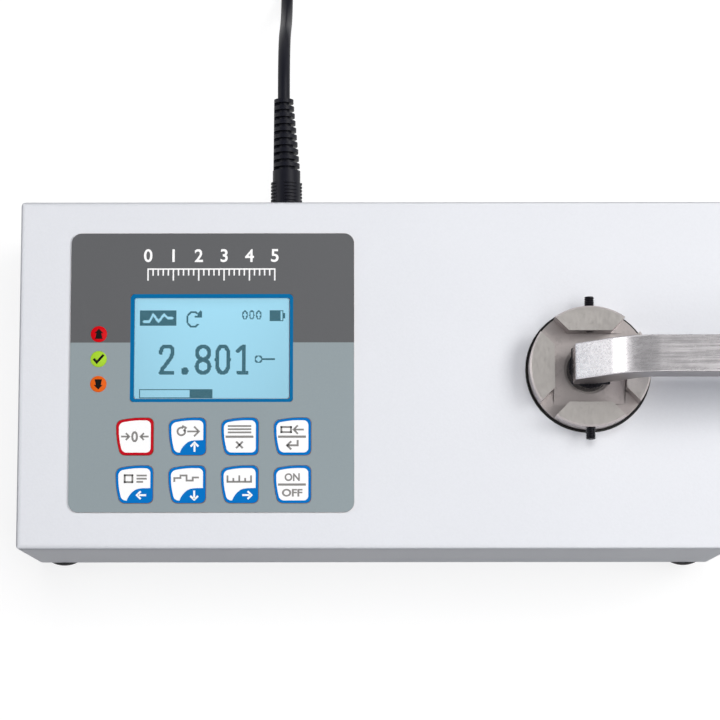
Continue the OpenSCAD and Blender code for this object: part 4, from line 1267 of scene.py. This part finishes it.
@dataclass(frozen=True)
class Indicators:
    """The three round lamps with their black signs."""

    x: float = -108.4 * MM
    middle_y: float = 5.85 * MM
    pitch: float = 9.9 * MM
    radius: float = 3.25 * MM
    low: float = 75.2 * MM
    high: float = 76.0 * MM

    def lens(self, y: float) -> bpy.types.Mesh:
        """Make one lens with a rounded rim.

        Args:
            y: Height of the lamp on the panel.

        Returns:
            The lens's mesh.
        """
        r, h = self.radius, self.high - self.low
        profile = [(0, 0), (r, 0), (r, h - 0.3 * MM), (r - 0.08 * MM, h - 0.12 * MM),
                   (r - 0.3 * MM, h - 0.02 * MM), (0, h - 0.02 * MM)]
        return revolved("lens", profile, (self.x, y, self.low), degrees=60)

    def sign(self, kind: int, y: float) -> list[bpy.types.Mesh]:
        """Make the black sign of one lamp.

        Args:
            kind: 1 for the upper lamp, 0 for the middle one and -1 for the lower one.
            y: Height of the lamp on the panel.

        Returns:
            The meshes of the sign.
        """
        low, high = self.high - 0.02 * MM, self.high
        if kind == 0:
            tick = [(-1.9, 0.1), (-0.7, -1.3), (2.0, 1.7)]
            line = [(self.x + u * MM, y + v * MM) for u, v in tick]
            return [stroke(line, 0.95 * MM, low, high)]
        post = [(0, 2.2), (-1.75, 0.35), (-0.95, 0.35), (-1.45, -1.9), (1.45, -1.9), (0.95, 0.35),
                (1.75, 0.35)]
        outline = [(self.x + u * MM, y + kind * v * MM) for u, v in post][::kind]
        return [prism("sign", outline, low, high)]

    def build(self) -> None:
        """Make the lamps from top to bottom."""
        lamps = ((1, "high", Finish.LAMP_RED, "lens_red"), (0, "ok", Finish.LAMP_GREEN, "lens_green"),
                 (-1, "low", Finish.LAMP_ORANGE, "lens_orange"))
        for kind, name, finish, slot in lamps:
            y = self.middle_y + kind * self.pitch
            parts = [(self.lens(y), finish)]
            parts += [(mesh, Finish.BLACK_PRINT) for mesh in self.sign(kind, y)]
            as_piece(f"lamp_{name}", combined(f"lamp_{name}", parts), "root", None,
                     [f"indicator_{name}"])


@dataclass(frozen=True)
class KeyFace:
    """One membrane key: its body, how far along and down it lies, and its legends."""

    body: str
    column: int
    row: int
    border: Finish = Finish.BLUE_PRINT
    lobe_arrow: float | None = None
    bar: bool = False


@dataclass(frozen=True)
class Keypad:
    """The eight keys with their coloured borders and grey legends.

    The stem under a key is given by its radius, its height and how far it reaches below the key.
    """

    origin: Point = (-94.0 * MM, -24.7 * MM)
    pitch: Point = (20.56 * MM, 18.8 * MM)
    width: float = 14.8 * MM
    line: float = 1.0 * MM
    low: float = 75.7 * MM
    high: float = 76.0 * MM
    print_t: float = 0.02 * MM
    stem: Point3 = (2.5 * MM, 0.2 * MM, 0.14 * MM)
    lobe_arrow_at: Point = (3.0 * MM, -4.3 * MM)
    lobe_arrow_size: float = 3.6 * MM
    lobe_arrow_line: float = 0.75 * MM
    corners: tuple[Point3, ...] = ((0.5, -0.5, 0.14), (0.5, 0.5, 0.15), (-0.5, 0.425, 0.18),
                                   (-0.385, -0.5, 0.17))
    bow: float = 0.02
    keys: tuple[KeyFace, ...] = (
        KeyFace("key_zero", 0, 0, Finish.RED_PRINT), KeyFace("key_up", 1, 0, lobe_arrow=90),
        KeyFace("key_menu", 2, 0, bar=True), KeyFace("key_enter", 3, 0, bar=True),
        KeyFace("key_left", 0, 1, lobe_arrow=180), KeyFace("key_down", 1, 1, lobe_arrow=-90),
        KeyFace("key_right", 2, 1, lobe_arrow=0), KeyFace("key_power", 3, 1, bar=True))

    def outline(self, grow: float, centre: Point) -> list[Point]:
        """Give a key's outline, grown by a distance, round its centre.

        Args:
            grow: How far it is grown.
            centre: The key's centre.

        Returns:
            The outline's points.
        """
        width = self.width + 2 * grow
        corners = [(x * width, y * width) for x, y, _ in self.corners]
        arcs = rounded(corners, [r * width for _, _, r in self.corners])
        points: list[Point] = []
        for i, part in enumerate(arcs):
            points += part
            if i in (1, 2):
                a, b = Vector(part[-1]), Vector(arcs[(i + 1) % len(arcs)][0])
                way = (b - a).normalized()
                out = Vector((way.y, -way.x)) * self.bow * width
                points += [tuple(a.lerp(b, t) + out * 4 * t * (1 - t)) for t in (0.25, 0.5, 0.75)]
        return moved(points, centre)

    def lobe(self, centre: Point) -> bpy.types.Mesh:
        """Make the blue quarter in a key's lower right corner.

        Args:
            centre: The key's centre.

        Returns:
            The quarter's mesh.
        """
        edge = [(-2.75, -6.45), (-2.3, -5.3), (-1.65, -4.25), (-0.75, -3.2), (0.45, -2.25),
                (1.6, -1.8), (3.0, -1.6), (6.45, -1.5)]
        line = [(u * MM, v * MM) for u, v in edge]
        inner = self.width / 2 - 0.95 * MM
        corner = arc((inner - 1.2 * MM, -inner + 1.2 * MM), 1.2 * MM, 0, -90)
        outline = (line + corner)[::-1]
        return prism("lobe", moved(outline, centre), self.high - 2 * self.print_t,
                     self.high - self.print_t)

    def place_line(self, centre: Point, line: Sequence[Point], weight: float = 0.75) -> bpy.types.Mesh:
        """Print a line that is given in millimetres from a key's centre."""
        points = [(centre[0] + u * MM, centre[1] + v * MM) for u, v in line]
        return stroke(points, weight * MM, self.high - 2 * self.print_t, self.high - self.print_t)

    def loop(self, centre: Point, line: Sequence[Point], weight: float = 0.75) -> list[bpy.types.Mesh]:
        """Print a closed line, one side after the other.

        Args:
            centre: The key's centre.
            line: The corners, in millimetres from it.
            weight: Width of the line in millimetres.

        Returns:
            The meshes of its sides.
        """
        sides = []
        for a, b in zip(line, [*line[1:], line[0]]):
            way = (Vector(b) - Vector(a)).normalized() * weight / 2
            sides.append(self.place_line(centre, [tuple(Vector(a) - way), tuple(Vector(b) + way)],
                                         weight))
        return sides

    def word(self, centre: Point, text: str, y: float, height: float, share: float,
             weight: float) -> bpy.types.Mesh:
        """Print a switch word or number at a height on a key."""
        return lettering("word", text, (centre[0] + 0.1 * MM, centre[1] + y * MM), height * MM,
                         self.high - 2 * self.print_t, self.high - self.print_t, share, weight * MM)

    def ring(self, centre: Point, middle: Point, radius: float, start: float, end: float,
             weight: float = 0.75) -> bpy.types.Mesh:
        """Print an arc round a point, with its angles in degrees."""
        return self.place_line(centre, arc(middle, radius, start, end, 20), weight)

    def arrow(self, centre: Point, at: Point, size: float, degrees: float,
              weight: float = 0.7) -> list[bpy.types.Mesh]:
        """Print a grey arrow on a key.

        Args:
            centre: The key's centre.
            at: The arrow's middle, in millimetres from it.
            size: Its length in millimetres.
            degrees: Which way it points.
            weight: Width of its strokes in millimetres.

        Returns:
            The meshes of the arrow.
        """
        place = (centre[0] + at[0] * MM, centre[1] + at[1] * MM)
        return arrow_print(place, size * MM, degrees, weight * MM, self.high - 2 * self.print_t,
                           self.high - self.print_t)

    def legend(self, key: KeyFace, c: Point) -> list[bpy.types.Mesh]:
        """Make a key's grey signs.

        Args:
            key: The key.
            c: Its centre.

        Returns:
            The meshes of its signs.
        """
        low_y = -3.4
        signs: dict[str, list[bpy.types.Mesh]] = {
            "key_zero": [self.word(c, "0", -0.15, 4.2, 0.92, 0.17), *self.arrow(c, (-3.6, -0.1), 3.2, 0),
                         *self.arrow(c, (4.0, -0.1), 3.2, 180)],
            "key_up": [self.ring(c, (-2.2, 1.9), 1.5, 60, 380), *self.arrow(c, (2.4, 1.9), 4.6, 0),
                       self.place_line(c, [(-1.9, 4.1), (-0.45, 3.35), (-1.3, 2.0)])],
            "key_menu": [self.place_line(c, [(-4.6, y), (4.6, y)], 0.7) for y in (4.0, 2.75, 1.5)]
            + [self.place_line(c, [(-1.3, low_y - 1.3), (1.3, low_y + 1.3)]),
               self.place_line(c, [(-1.3, low_y + 1.3), (1.3, low_y - 1.3)])],
            "key_enter": [*self.loop(c, [(-4.2, 1.6), (-0.4, 1.6), (-0.4, 3.6), (-4.2, 3.6)]),
                          *self.arrow(c, (2.6, 2.6), 4.0, 180),
                          self.place_line(c, [(2.2, -1.5), (2.2, -3.6), (-1.9, -3.6)], 0.8),
                          self.place_line(c, [(-0.3, -2.0), (-2.0, -3.6), (-0.3, -5.2)], 0.75)],
            "key_left": [*self.loop(c, [(-3.6, 0.8), (-0.6, 0.8), (-0.6, 3.5), (-3.6, 3.5)]),
                         self.place_line(c, [(1.0, 3.4), (5.0, 3.4)], 0.7),
                         self.place_line(c, [(1.0, 2.15), (5.0, 2.15)], 0.7),
                         self.place_line(c, [(1.0, 0.9), (3.6, 0.9)], 0.7)],
            "key_down": [self.place_line(c, [(-4.8, 0.9), (-4.8, 2.4), (-2.4, 2.4), (-2.4, 3.4),
                                             (0.0, 3.4), (0.0, 1.4), (2.4, 1.4), (2.4, 2.6),
                                             (4.8, 2.6)], 0.7)],
            "key_right": [self.place_line(c, [(-4.95, 0.9), (4.95, 0.9)])]
            + [self.place_line(c, [(x, 1.1), (x, 3.4 if i % 2 == 0 else 2.4)], 0.7)
               for i, x in enumerate((-4.6, -2.3, 0.0, 2.3, 4.6))],
            "key_power": [self.word(c, "ON", 2.7, 2.95, 0.95, 0.13),
                          self.word(c, "OFF", low_y, 2.9, 1.15, 0.13)],
        }
        bar = [self.place_line(c, [(-5.45, -0.2), (5.45, -0.2)], 0.9)] if key.bar else []
        return signs[key.body] + bar

    def build_key(self, key: KeyFace) -> None:
        """Make one key from its border, face, lobe and legends.

        Args:
            key: The key.
        """
        c = (self.origin[0] + key.column * self.pitch[0], self.origin[1] - key.row * self.pitch[1])
        edge, inner = self.outline(0, c), self.outline(-self.line, c)
        radius, tall, drop = self.stem
        stem = revolved("stem", [(0, 0), (radius, 0), (radius, tall), (0, tall)],
                        (*c, self.low - drop))
        parts = [(plate_with_holes("border", [edge, inner], self.low, self.high), key.border),
                 (prism("face", self.outline(-self.line + 0.05 * MM, c), self.low + 0.05 * MM,
                        self.high - 2 * self.print_t), Finish.WHITE_PRINT), (stem, Finish.CHIP)]
        if key.lobe_arrow is not None:
            parts.append((self.lobe(c), key.border))
            at = (c[0] + self.lobe_arrow_at[0], c[1] + self.lobe_arrow_at[1])
            parts += [(mesh, Finish.WHITE_PRINT)
                      for mesh in arrow_print(at, self.lobe_arrow_size, key.lobe_arrow,
                                              self.lobe_arrow_line, self.high - self.print_t,
                                              self.high)]
        parts += [(mesh, Finish.GREY_PRINT) for mesh in self.legend(key, c)]
        as_piece(f"{key.body}_face", combined(f"{key.body}_face", parts), key.body, None,
                 [key.body])

    def build(self) -> None:
        """Make every key."""
        for key in self.keys:
            self.build_key(key)


def dot_nodes() -> bpy.types.NodeTree:
    """Build the node tree that puts one flat square dot on every point of a mesh.

    Returns:
        The tree, with inputs for the dot's size, its height and its material.
    """
    tree = bpy.data.node_groups.new("display_dots", "GeometryNodeTree")
    tree.interface.new_socket("Points", in_out="INPUT", socket_type="NodeSocketGeometry")
    for label in ("Dot Size", "Dot Height"):
        tree.interface.new_socket(label, in_out="INPUT", socket_type="NodeSocketFloat")
    tree.interface.new_socket("Material", in_out="INPUT", socket_type="NodeSocketMaterial")
    tree.interface.new_socket("Dots", in_out="OUTPUT", socket_type="NodeSocketGeometry")
    t = Tree(tree)
    start, end = t.add("NodeGroupInput"), t.add("NodeGroupOutput")
    size = t.add("ShaderNodeCombineXYZ", {0: start.outputs["Dot Size"], 1: start.outputs["Dot Size"],
                                          2: start.outputs["Dot Height"]})
    dot = t.add("GeometryNodeMeshCube", {"Size": size.outputs[0]})
    points = t.add("GeometryNodeMeshToPoints", {"Mesh": start.outputs["Points"]})
    spread = t.add("GeometryNodeInstanceOnPoints", {"Points": points.outputs[0],
                                                    "Instance": dot.outputs["Mesh"]})
    real = t.add("GeometryNodeRealizeInstances", {"Geometry": spread.outputs[0]})
    dressed = t.add("GeometryNodeSetMaterial", {"Geometry": real.outputs[0],
                                                "Material": start.outputs["Material"]})
    t.link(dressed.outputs[0], end.inputs["Dots"])
    return tree


def near_line(at: Point, line: Sequence[Point], reach: float) -> bool:
    """Tell whether a point lies within a distance of a line of points.

    Args:
        at: The point.
        line: The points of the line.
        reach: The distance.

    Returns:
        True where it does.
    """
    place = Vector(at)
    for a, b in zip(line, line[1:]):
        start, along = Vector(a), Vector(b) - Vector(a)
        share = max(0.0, min(1.0, (place - start).dot(along) / max(along.length_squared, 1e-9)))
        if (start + along * share - place).length <= reach:
            return True
    return False


@dataclass(frozen=True)
class Display:
    """The backlit dot display under its window, with what it shows."""

    origin: Point = (-92.4 * MM, 25.3 * MM)
    pitch: float = 0.36 * MM
    columns: int = 160
    first_row: int = -1
    last_row: int = 97
    centre: Point = (-64 * MM, 10.25 * MM)
    size: Point = (64 * MM, 42.9 * MM)
    frame_line: float = 1.4 * MM
    glass_z: float = 75.15 * MM
    film_z: float = 75.2 * MM
    film_top: float = 75.8 * MM
    big_row: float = 37.3
    stroke_reach: float = 2.15

    def oval(self, centre: Point, half: Point, start: float = 0, end: float = 360) -> list[Point]:
        """Give the points of an oval arc in dots, clockwise from the right.

        Args:
            centre: Its middle.
            half: Half its width and height.
            start: Angle of its start in degrees.
            end: Angle of its end in degrees.

        Returns:
            The points of the arc.
        """
        angles = [math.radians(start + (end - start) * i / 32) for i in range(33)]
        return [(centre[0] + half[0] * math.cos(a), centre[1] + half[1] * math.sin(a))
                for a in angles]

    def big_strokes(self) -> list[list[Point]]:
        """Give the strokes of the large reading, in dots.

        Returns:
            The strokes, each a line of points.
        """
        two = [(2, 9), (2.6, 5), (5, 2.4), (8.5, 2), (12, 2.4), (14.8, 5), (15, 9.5), (13.4, 14),
               (9, 20.5), (4, 27), (2.2, 31), (15, 31)]
        nought = [(5.2, 2.6), (8.5, 2), (11.8, 2.6), (14.6, 8), (14.9, 16.5), (14.6, 25),
                  (11.8, 30.4), (8.5, 31), (5.2, 30.4), (2.4, 25), (2.1, 16.5), (2.4, 8), (5.2, 2.6)]
        one = [[(1.6, 7), (6.6, 3)], [(8.2, 2), (8.2, 31)], [(2.3, 31), (11.6, 31)]]
        eight = [self.oval((8.7, 9.2), (6.6, 7.2)), self.oval((8.7, 24.2), (6.9, 6.9))]
        placed = [(20.7, [two]), (60.3, eight), (82.0, [nought]), (105.2, one)]
        return [moved(line, (left, self.big_row)) for left, lines in placed for line in lines]

    def is_dark(self, at: Point, strokes: Sequence[Sequence[Point]]) -> bool:
        """Tell whether one dot of the display is dark.

        Args:
            at: The dot's column and row.
            strokes: The strokes of the large reading.

        Returns:
            True for a dark dot.
        """
        x, y = at
        if 0 <= x <= 39 and 0 <= y <= 16:
            wave = [(4, 12), (10, 12), (14, 4), (20, 12), (26, 4), (30, 8), (35, 8)]
            return not near_line(at, wave, 1.2)
        if y < 20:
            turn = self.oval((58, 9.5), (6.8, 8.4), 40, 310)
            head = [(60.5, 6.5), (66, 6.5), (66, 1), (63.5, 4.5)]
            counter = [self.oval((114.5 + 7.5 * i, 4.7), (2.3, 4.4)) for i in range(3)]
            cell = 142 <= x <= 156 and 0 <= y <= 11
            inner = 153 < x < 156 and 0 < y < 11
            nub = 157 <= x <= 158 and 3 <= y <= 8
            return (near_line(at, turn, 0.9) or near_line(at, head, 1.2) or (cell and not inner)
                    or nub or any(near_line(at, line, 0.72) for line in counter))
        if y > 85:
            inside = 1 <= x <= 54 and 87 < y < 96
            return x <= 79 and 87 <= y <= 96 and not inside
        if (x - 49.1) ** 2 + (y - 66.6) ** 2 < 4.1 ** 2:
            return True
        if x > 122:
            ring, bar = self.oval((129.5, 53.5), (3.6, 3.6)), [(133, 53.5), (147, 53.5)]
            return near_line(at, ring, 0.75) or near_line(at, bar, 0.75)
        return any(near_line(at, line, self.stroke_reach) for line in strokes)

    def build_dots(self) -> None:
        """Lay the dark dots through the dot tree and keep their plain mesh."""
        strokes = self.big_strokes()
        thick = 0.02 * MM
        places = [(self.origin[0] + (column + 0.5) * self.pitch,
                   self.origin[1] - (row + 0.5) * self.pitch, self.glass_z + thick / 2)
                  for row in range(self.first_row, self.last_row) for column in range(self.columns)
                  if self.is_dark((column, row), strokes)]
        mesh = bpy.data.meshes.new("dots")
        mesh.from_pydata(places, [], [])
        holder = bpy.data.objects.new("dots", mesh)
        bpy.context.scene.collection.objects.link(holder)
        tree = dot_nodes()
        spread = holder.modifiers.new("dots", "NODES")
        spread.node_group = tree
        values = {"Dot Size": self.pitch * 0.97, "Dot Height": thick,
                  "Material": Finish.LCD_DOT.material}
        for item in tree.interface.items_tree:
            if item.in_out == "INPUT" and item.name in values:
                spread[item.identifier] = values[item.name]
        bpy.context.view_layer.update()
        as_piece("display_dots", settle(holder), "root", None)

    def build(self) -> None:
        """Make the window with its blue border, and the display's dots."""
        w, h = self.size
        edge = round_rect(self.centre, w, h, 1.7 * MM)
        opening = (self.centre[0] + 0.1 * MM, self.centre[1] - 0.15 * MM)
        inner = round_rect(opening, w - 2 * self.frame_line, h - 2 * self.frame_line, 0.8 * MM)
        border = plate_with_holes("window_border", [edge, inner], self.film_z, self.film_top)
        pane = prism("pane", round_rect(opening, w - 2 * self.frame_line - 0.02 * MM,
                                        h - 2 * self.frame_line - 0.02 * MM, 0.8 * MM),
                     self.film_top - 0.12 * MM, self.film_top - 0.04 * MM)
        parts = [(border, Finish.BLUE_FRAME), (pane, Finish.WINDOW)]
        as_piece("window", combined("window", parts), "root", None,
                 ["display_window"])
        self.build_dots()


def threaded_rod(length: float, radius: float, pitch: float, depth: float, tip: float,
                 sides: int = 32, per_pitch: int = 8) -> bpy.types.Mesh:
    """Make a rod with a helical thread and a cone at its lower end, standing on the origin.

    Args:
        length: The rod's length.
        radius: Its outer radius.
        pitch: The thread's pitch.
        depth: The thread's depth.
        tip: Height of the cone.
        sides: How many sides each ring has.
        per_pitch: How many rings each turn of the thread has.

    Returns:
        The rod's mesh.
    """
    count = round(length / pitch * per_pitch)
    bm = bmesh.new()
    rings = []
    for i in range(count + 1):
        z = length * i / count
        limit = min(radius, radius / 2 + (radius / 2) * z / tip, radius - 0.3 * MM + (length - z))
        ring = []
        for k in range(sides):
            phase = (z / pitch - k / sides) % 1
            cut = depth * (1 - abs(2 * phase - 1))
            r = min(limit, radius - cut)
            angle = 2 * math.pi * k / sides
            ring.append(bm.verts.new((r * math.cos(angle), r * math.sin(angle), z)))
        rings.append(ring)
    for a, b in zip(rings, rings[1:]):
        for k in range(sides):
            n = (k + 1) % sides
            bm.faces.new((a[k], a[n], b[n], b[k]))
    bm.faces.new(rings[0][::-1])
    bm.faces.new(rings[-1])
    bmesh.ops.recalc_face_normals(bm, faces=bm.faces)
    return from_bmesh("threaded_rod", bm, 60)


@dataclass(frozen=True)
class Fixture:
    """The four-jaw head, its two clamping screws and its seal."""

    axis: Point = (84 * MM, 1.4 * MM)
    top_z: float = 87.5 * MM
    screw_z: float = 82.75 * MM
    screw_len: float = 14 * MM
    screw_radius: float = 2 * MM
    thread_pitch: float = 0.75 * MM
    thread_depth: float = 0.42 * MM
    screw_cone: float = 1 * MM
    hex_radius: float = 1.16 * MM
    hex_depth: float = 2.2 * MM
    tip_rear: float = 13.8 * MM
    tip_front: float = 14.2 * MM

    def build_head(self) -> None:
        """Dress the milled head, with its ground jaw tops in their own finish."""
        mesh = bevelled(merged_copy("fixture_head"), 0.22 * MM, 2, 28)
        mesh.materials.append(Finish.NICKEL.material)
        mesh.materials.append(Finish.JAW_TOP.material)
        for polygon in mesh.polygons:
            is_top = polygon.normal.z > 0.9 and polygon.center.z > self.top_z - 0.1 * MM
            polygon.material_index = int(is_top)
        as_piece("fixture_head_skin", mesh, "spindle", None, ["fixture_head"])

    def build_screw(self, name: str, side: int, tip: float) -> None:
        """Make one clamping screw with its thread and hex socket.

        Args:
            name: The screw's body.
            side: 1 for the rear screw, -1 for the front one.
            tip: How far its tip is from the head's middle.
        """
        rod = threaded_rod(self.screw_len, self.screw_radius, self.thread_pitch, self.thread_depth,
                           self.screw_cone)
        hexagon = arc((0, 0), self.hex_radius, 0, 360, 6)[:-1]
        socket = prism("socket", hexagon, self.screw_len - self.hex_depth, self.screw_len + 1 * MM)
        mesh = bevelled(rod, 0.02 * MM, 1, 70, [socket])
        turn = Matrix.Rotation(math.radians(-90 * side), 4, "X")
        place = Matrix.Translation((self.axis[0], self.axis[1] + side * tip, self.screw_z))
        mesh.transform(place @ turn)
        as_piece(f"{name}_skin", mesh, name, Finish.BLACK_STEEL,
                 [f"set_{name}"])

    def build(self) -> None:
        """Make the head, the seal and both screws."""
        self.build_head()
        as_piece("seal_ring_skin", bevelled(merged_copy("seal_ring"), 0.12 * MM, 2), "root",
                 Finish.RUBBER, ["seal_ring"])
        self.build_screw("screw_rear", 1, self.tip_rear)
        self.build_screw("screw_front", -1, self.tip_front)


@dataclass(frozen=True)
class Lever:
    """The cranked aluminium lever with its washer and round neck."""

    def build(self) -> None:
        """Dress the three pieces of the lever, with the sides of the arm in a darker copy of the
        aluminium that paints their shade.
        """
        arm = bevelled(merged_copy("lever_arm"), 0.7 * MM, 4, 50)
        arm.materials.append(Finish.BRUSHED.material)
        arm.materials.append(Finish.LEVER_SIDE.material)
        for polygon in arm.polygons:
            # The arm's sides, which face along Y, take the darker copy of the aluminium: painted shade.
            polygon.material_index = int(abs(polygon.normal.y) > 0.8)
        as_piece("lever_arm_skin", arm, "lever", None, ["lever_arm"])
        as_piece("lever_washer_skin", bevelled(merged_copy("lever_washer"), 0.15 * MM, 2, 50),
                 "lever", Finish.BLACK_STEEL, ["lever_washer"])
        as_piece("lever_neck_skin", bevelled(merged_copy("lever_neck"), 0.2 * MM, 2, 28), "lever",
                 Finish.BLACK_STEEL, ["lever_neck"])


@dataclass(frozen=True)
class Rear:
    """The two sockets in the rear wall."""

    def build(self) -> None:
        """Dress the sockets."""
        for node in ("data_socket", "charge_jack"):
            as_piece(f"{node}_skin", bevelled(merged_copy(node), 0.15 * MM, 2), "root",
                     Finish.SOCKET, [node])


@dataclass(frozen=True)
class Inside:
    """The pieces under the cover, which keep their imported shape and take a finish."""

    finishes: tuple[tuple[Finish, tuple[str, ...]], ...] = (
        (Finish.ZINC, ("base_plate", "foot_screws", "foot_nuts", "cover_screws", "lcd_bezel",
                       "display_screws", "board_screws", "battery_bracket", "transducer_screws",
                       "head_screws")),
        (Finish.FLEX, ("key_circuit", "keypad_tail", "strain_gauges")),
        (Finish.BRASS, ("key_contacts", "display_standoffs", "board_standoffs")),
        (Finish.BOARD, ("display_board", "main_board")),
        (Finish.CHIP, ("board_components",)),
        (Finish.LCD, ("lcd_glass",)),
        (Finish.WHITE_PRINT, ("lcd_backlight",)),
        (Finish.WINDOW, ("indicator_leds",)),
        (Finish.SLEEVE, ("battery_pack",)),
        (Finish.TURNED, ("transducer_housing",)),
        (Finish.NICKEL, ("torsion_shaft",)),
        (Finish.GROUND, ("shaft_bearing",)),
        (Finish.CORD, ("gauge_cable",)))

    def build(self) -> None:
        """Give each piece its finish."""
        for finish, nodes in self.finishes:
            for node in nodes:
                mesh = frame["nodes"][node].data
                mesh.materials.clear()
                mesh.materials.append(finish.material)


def main() -> None:
    """Build the studio and each sub-assembly in order."""
    logging.basicConfig(level=logging.INFO, format="%(message)s")
    Studio().build()
    for part in (DataLead(), Case(), Panel(), Indicators(), Keypad(), Display(), Fixture(), Lever(),
                 Rear(), Inside()):
        part.build()


if __name__ == "__main__":
    main()
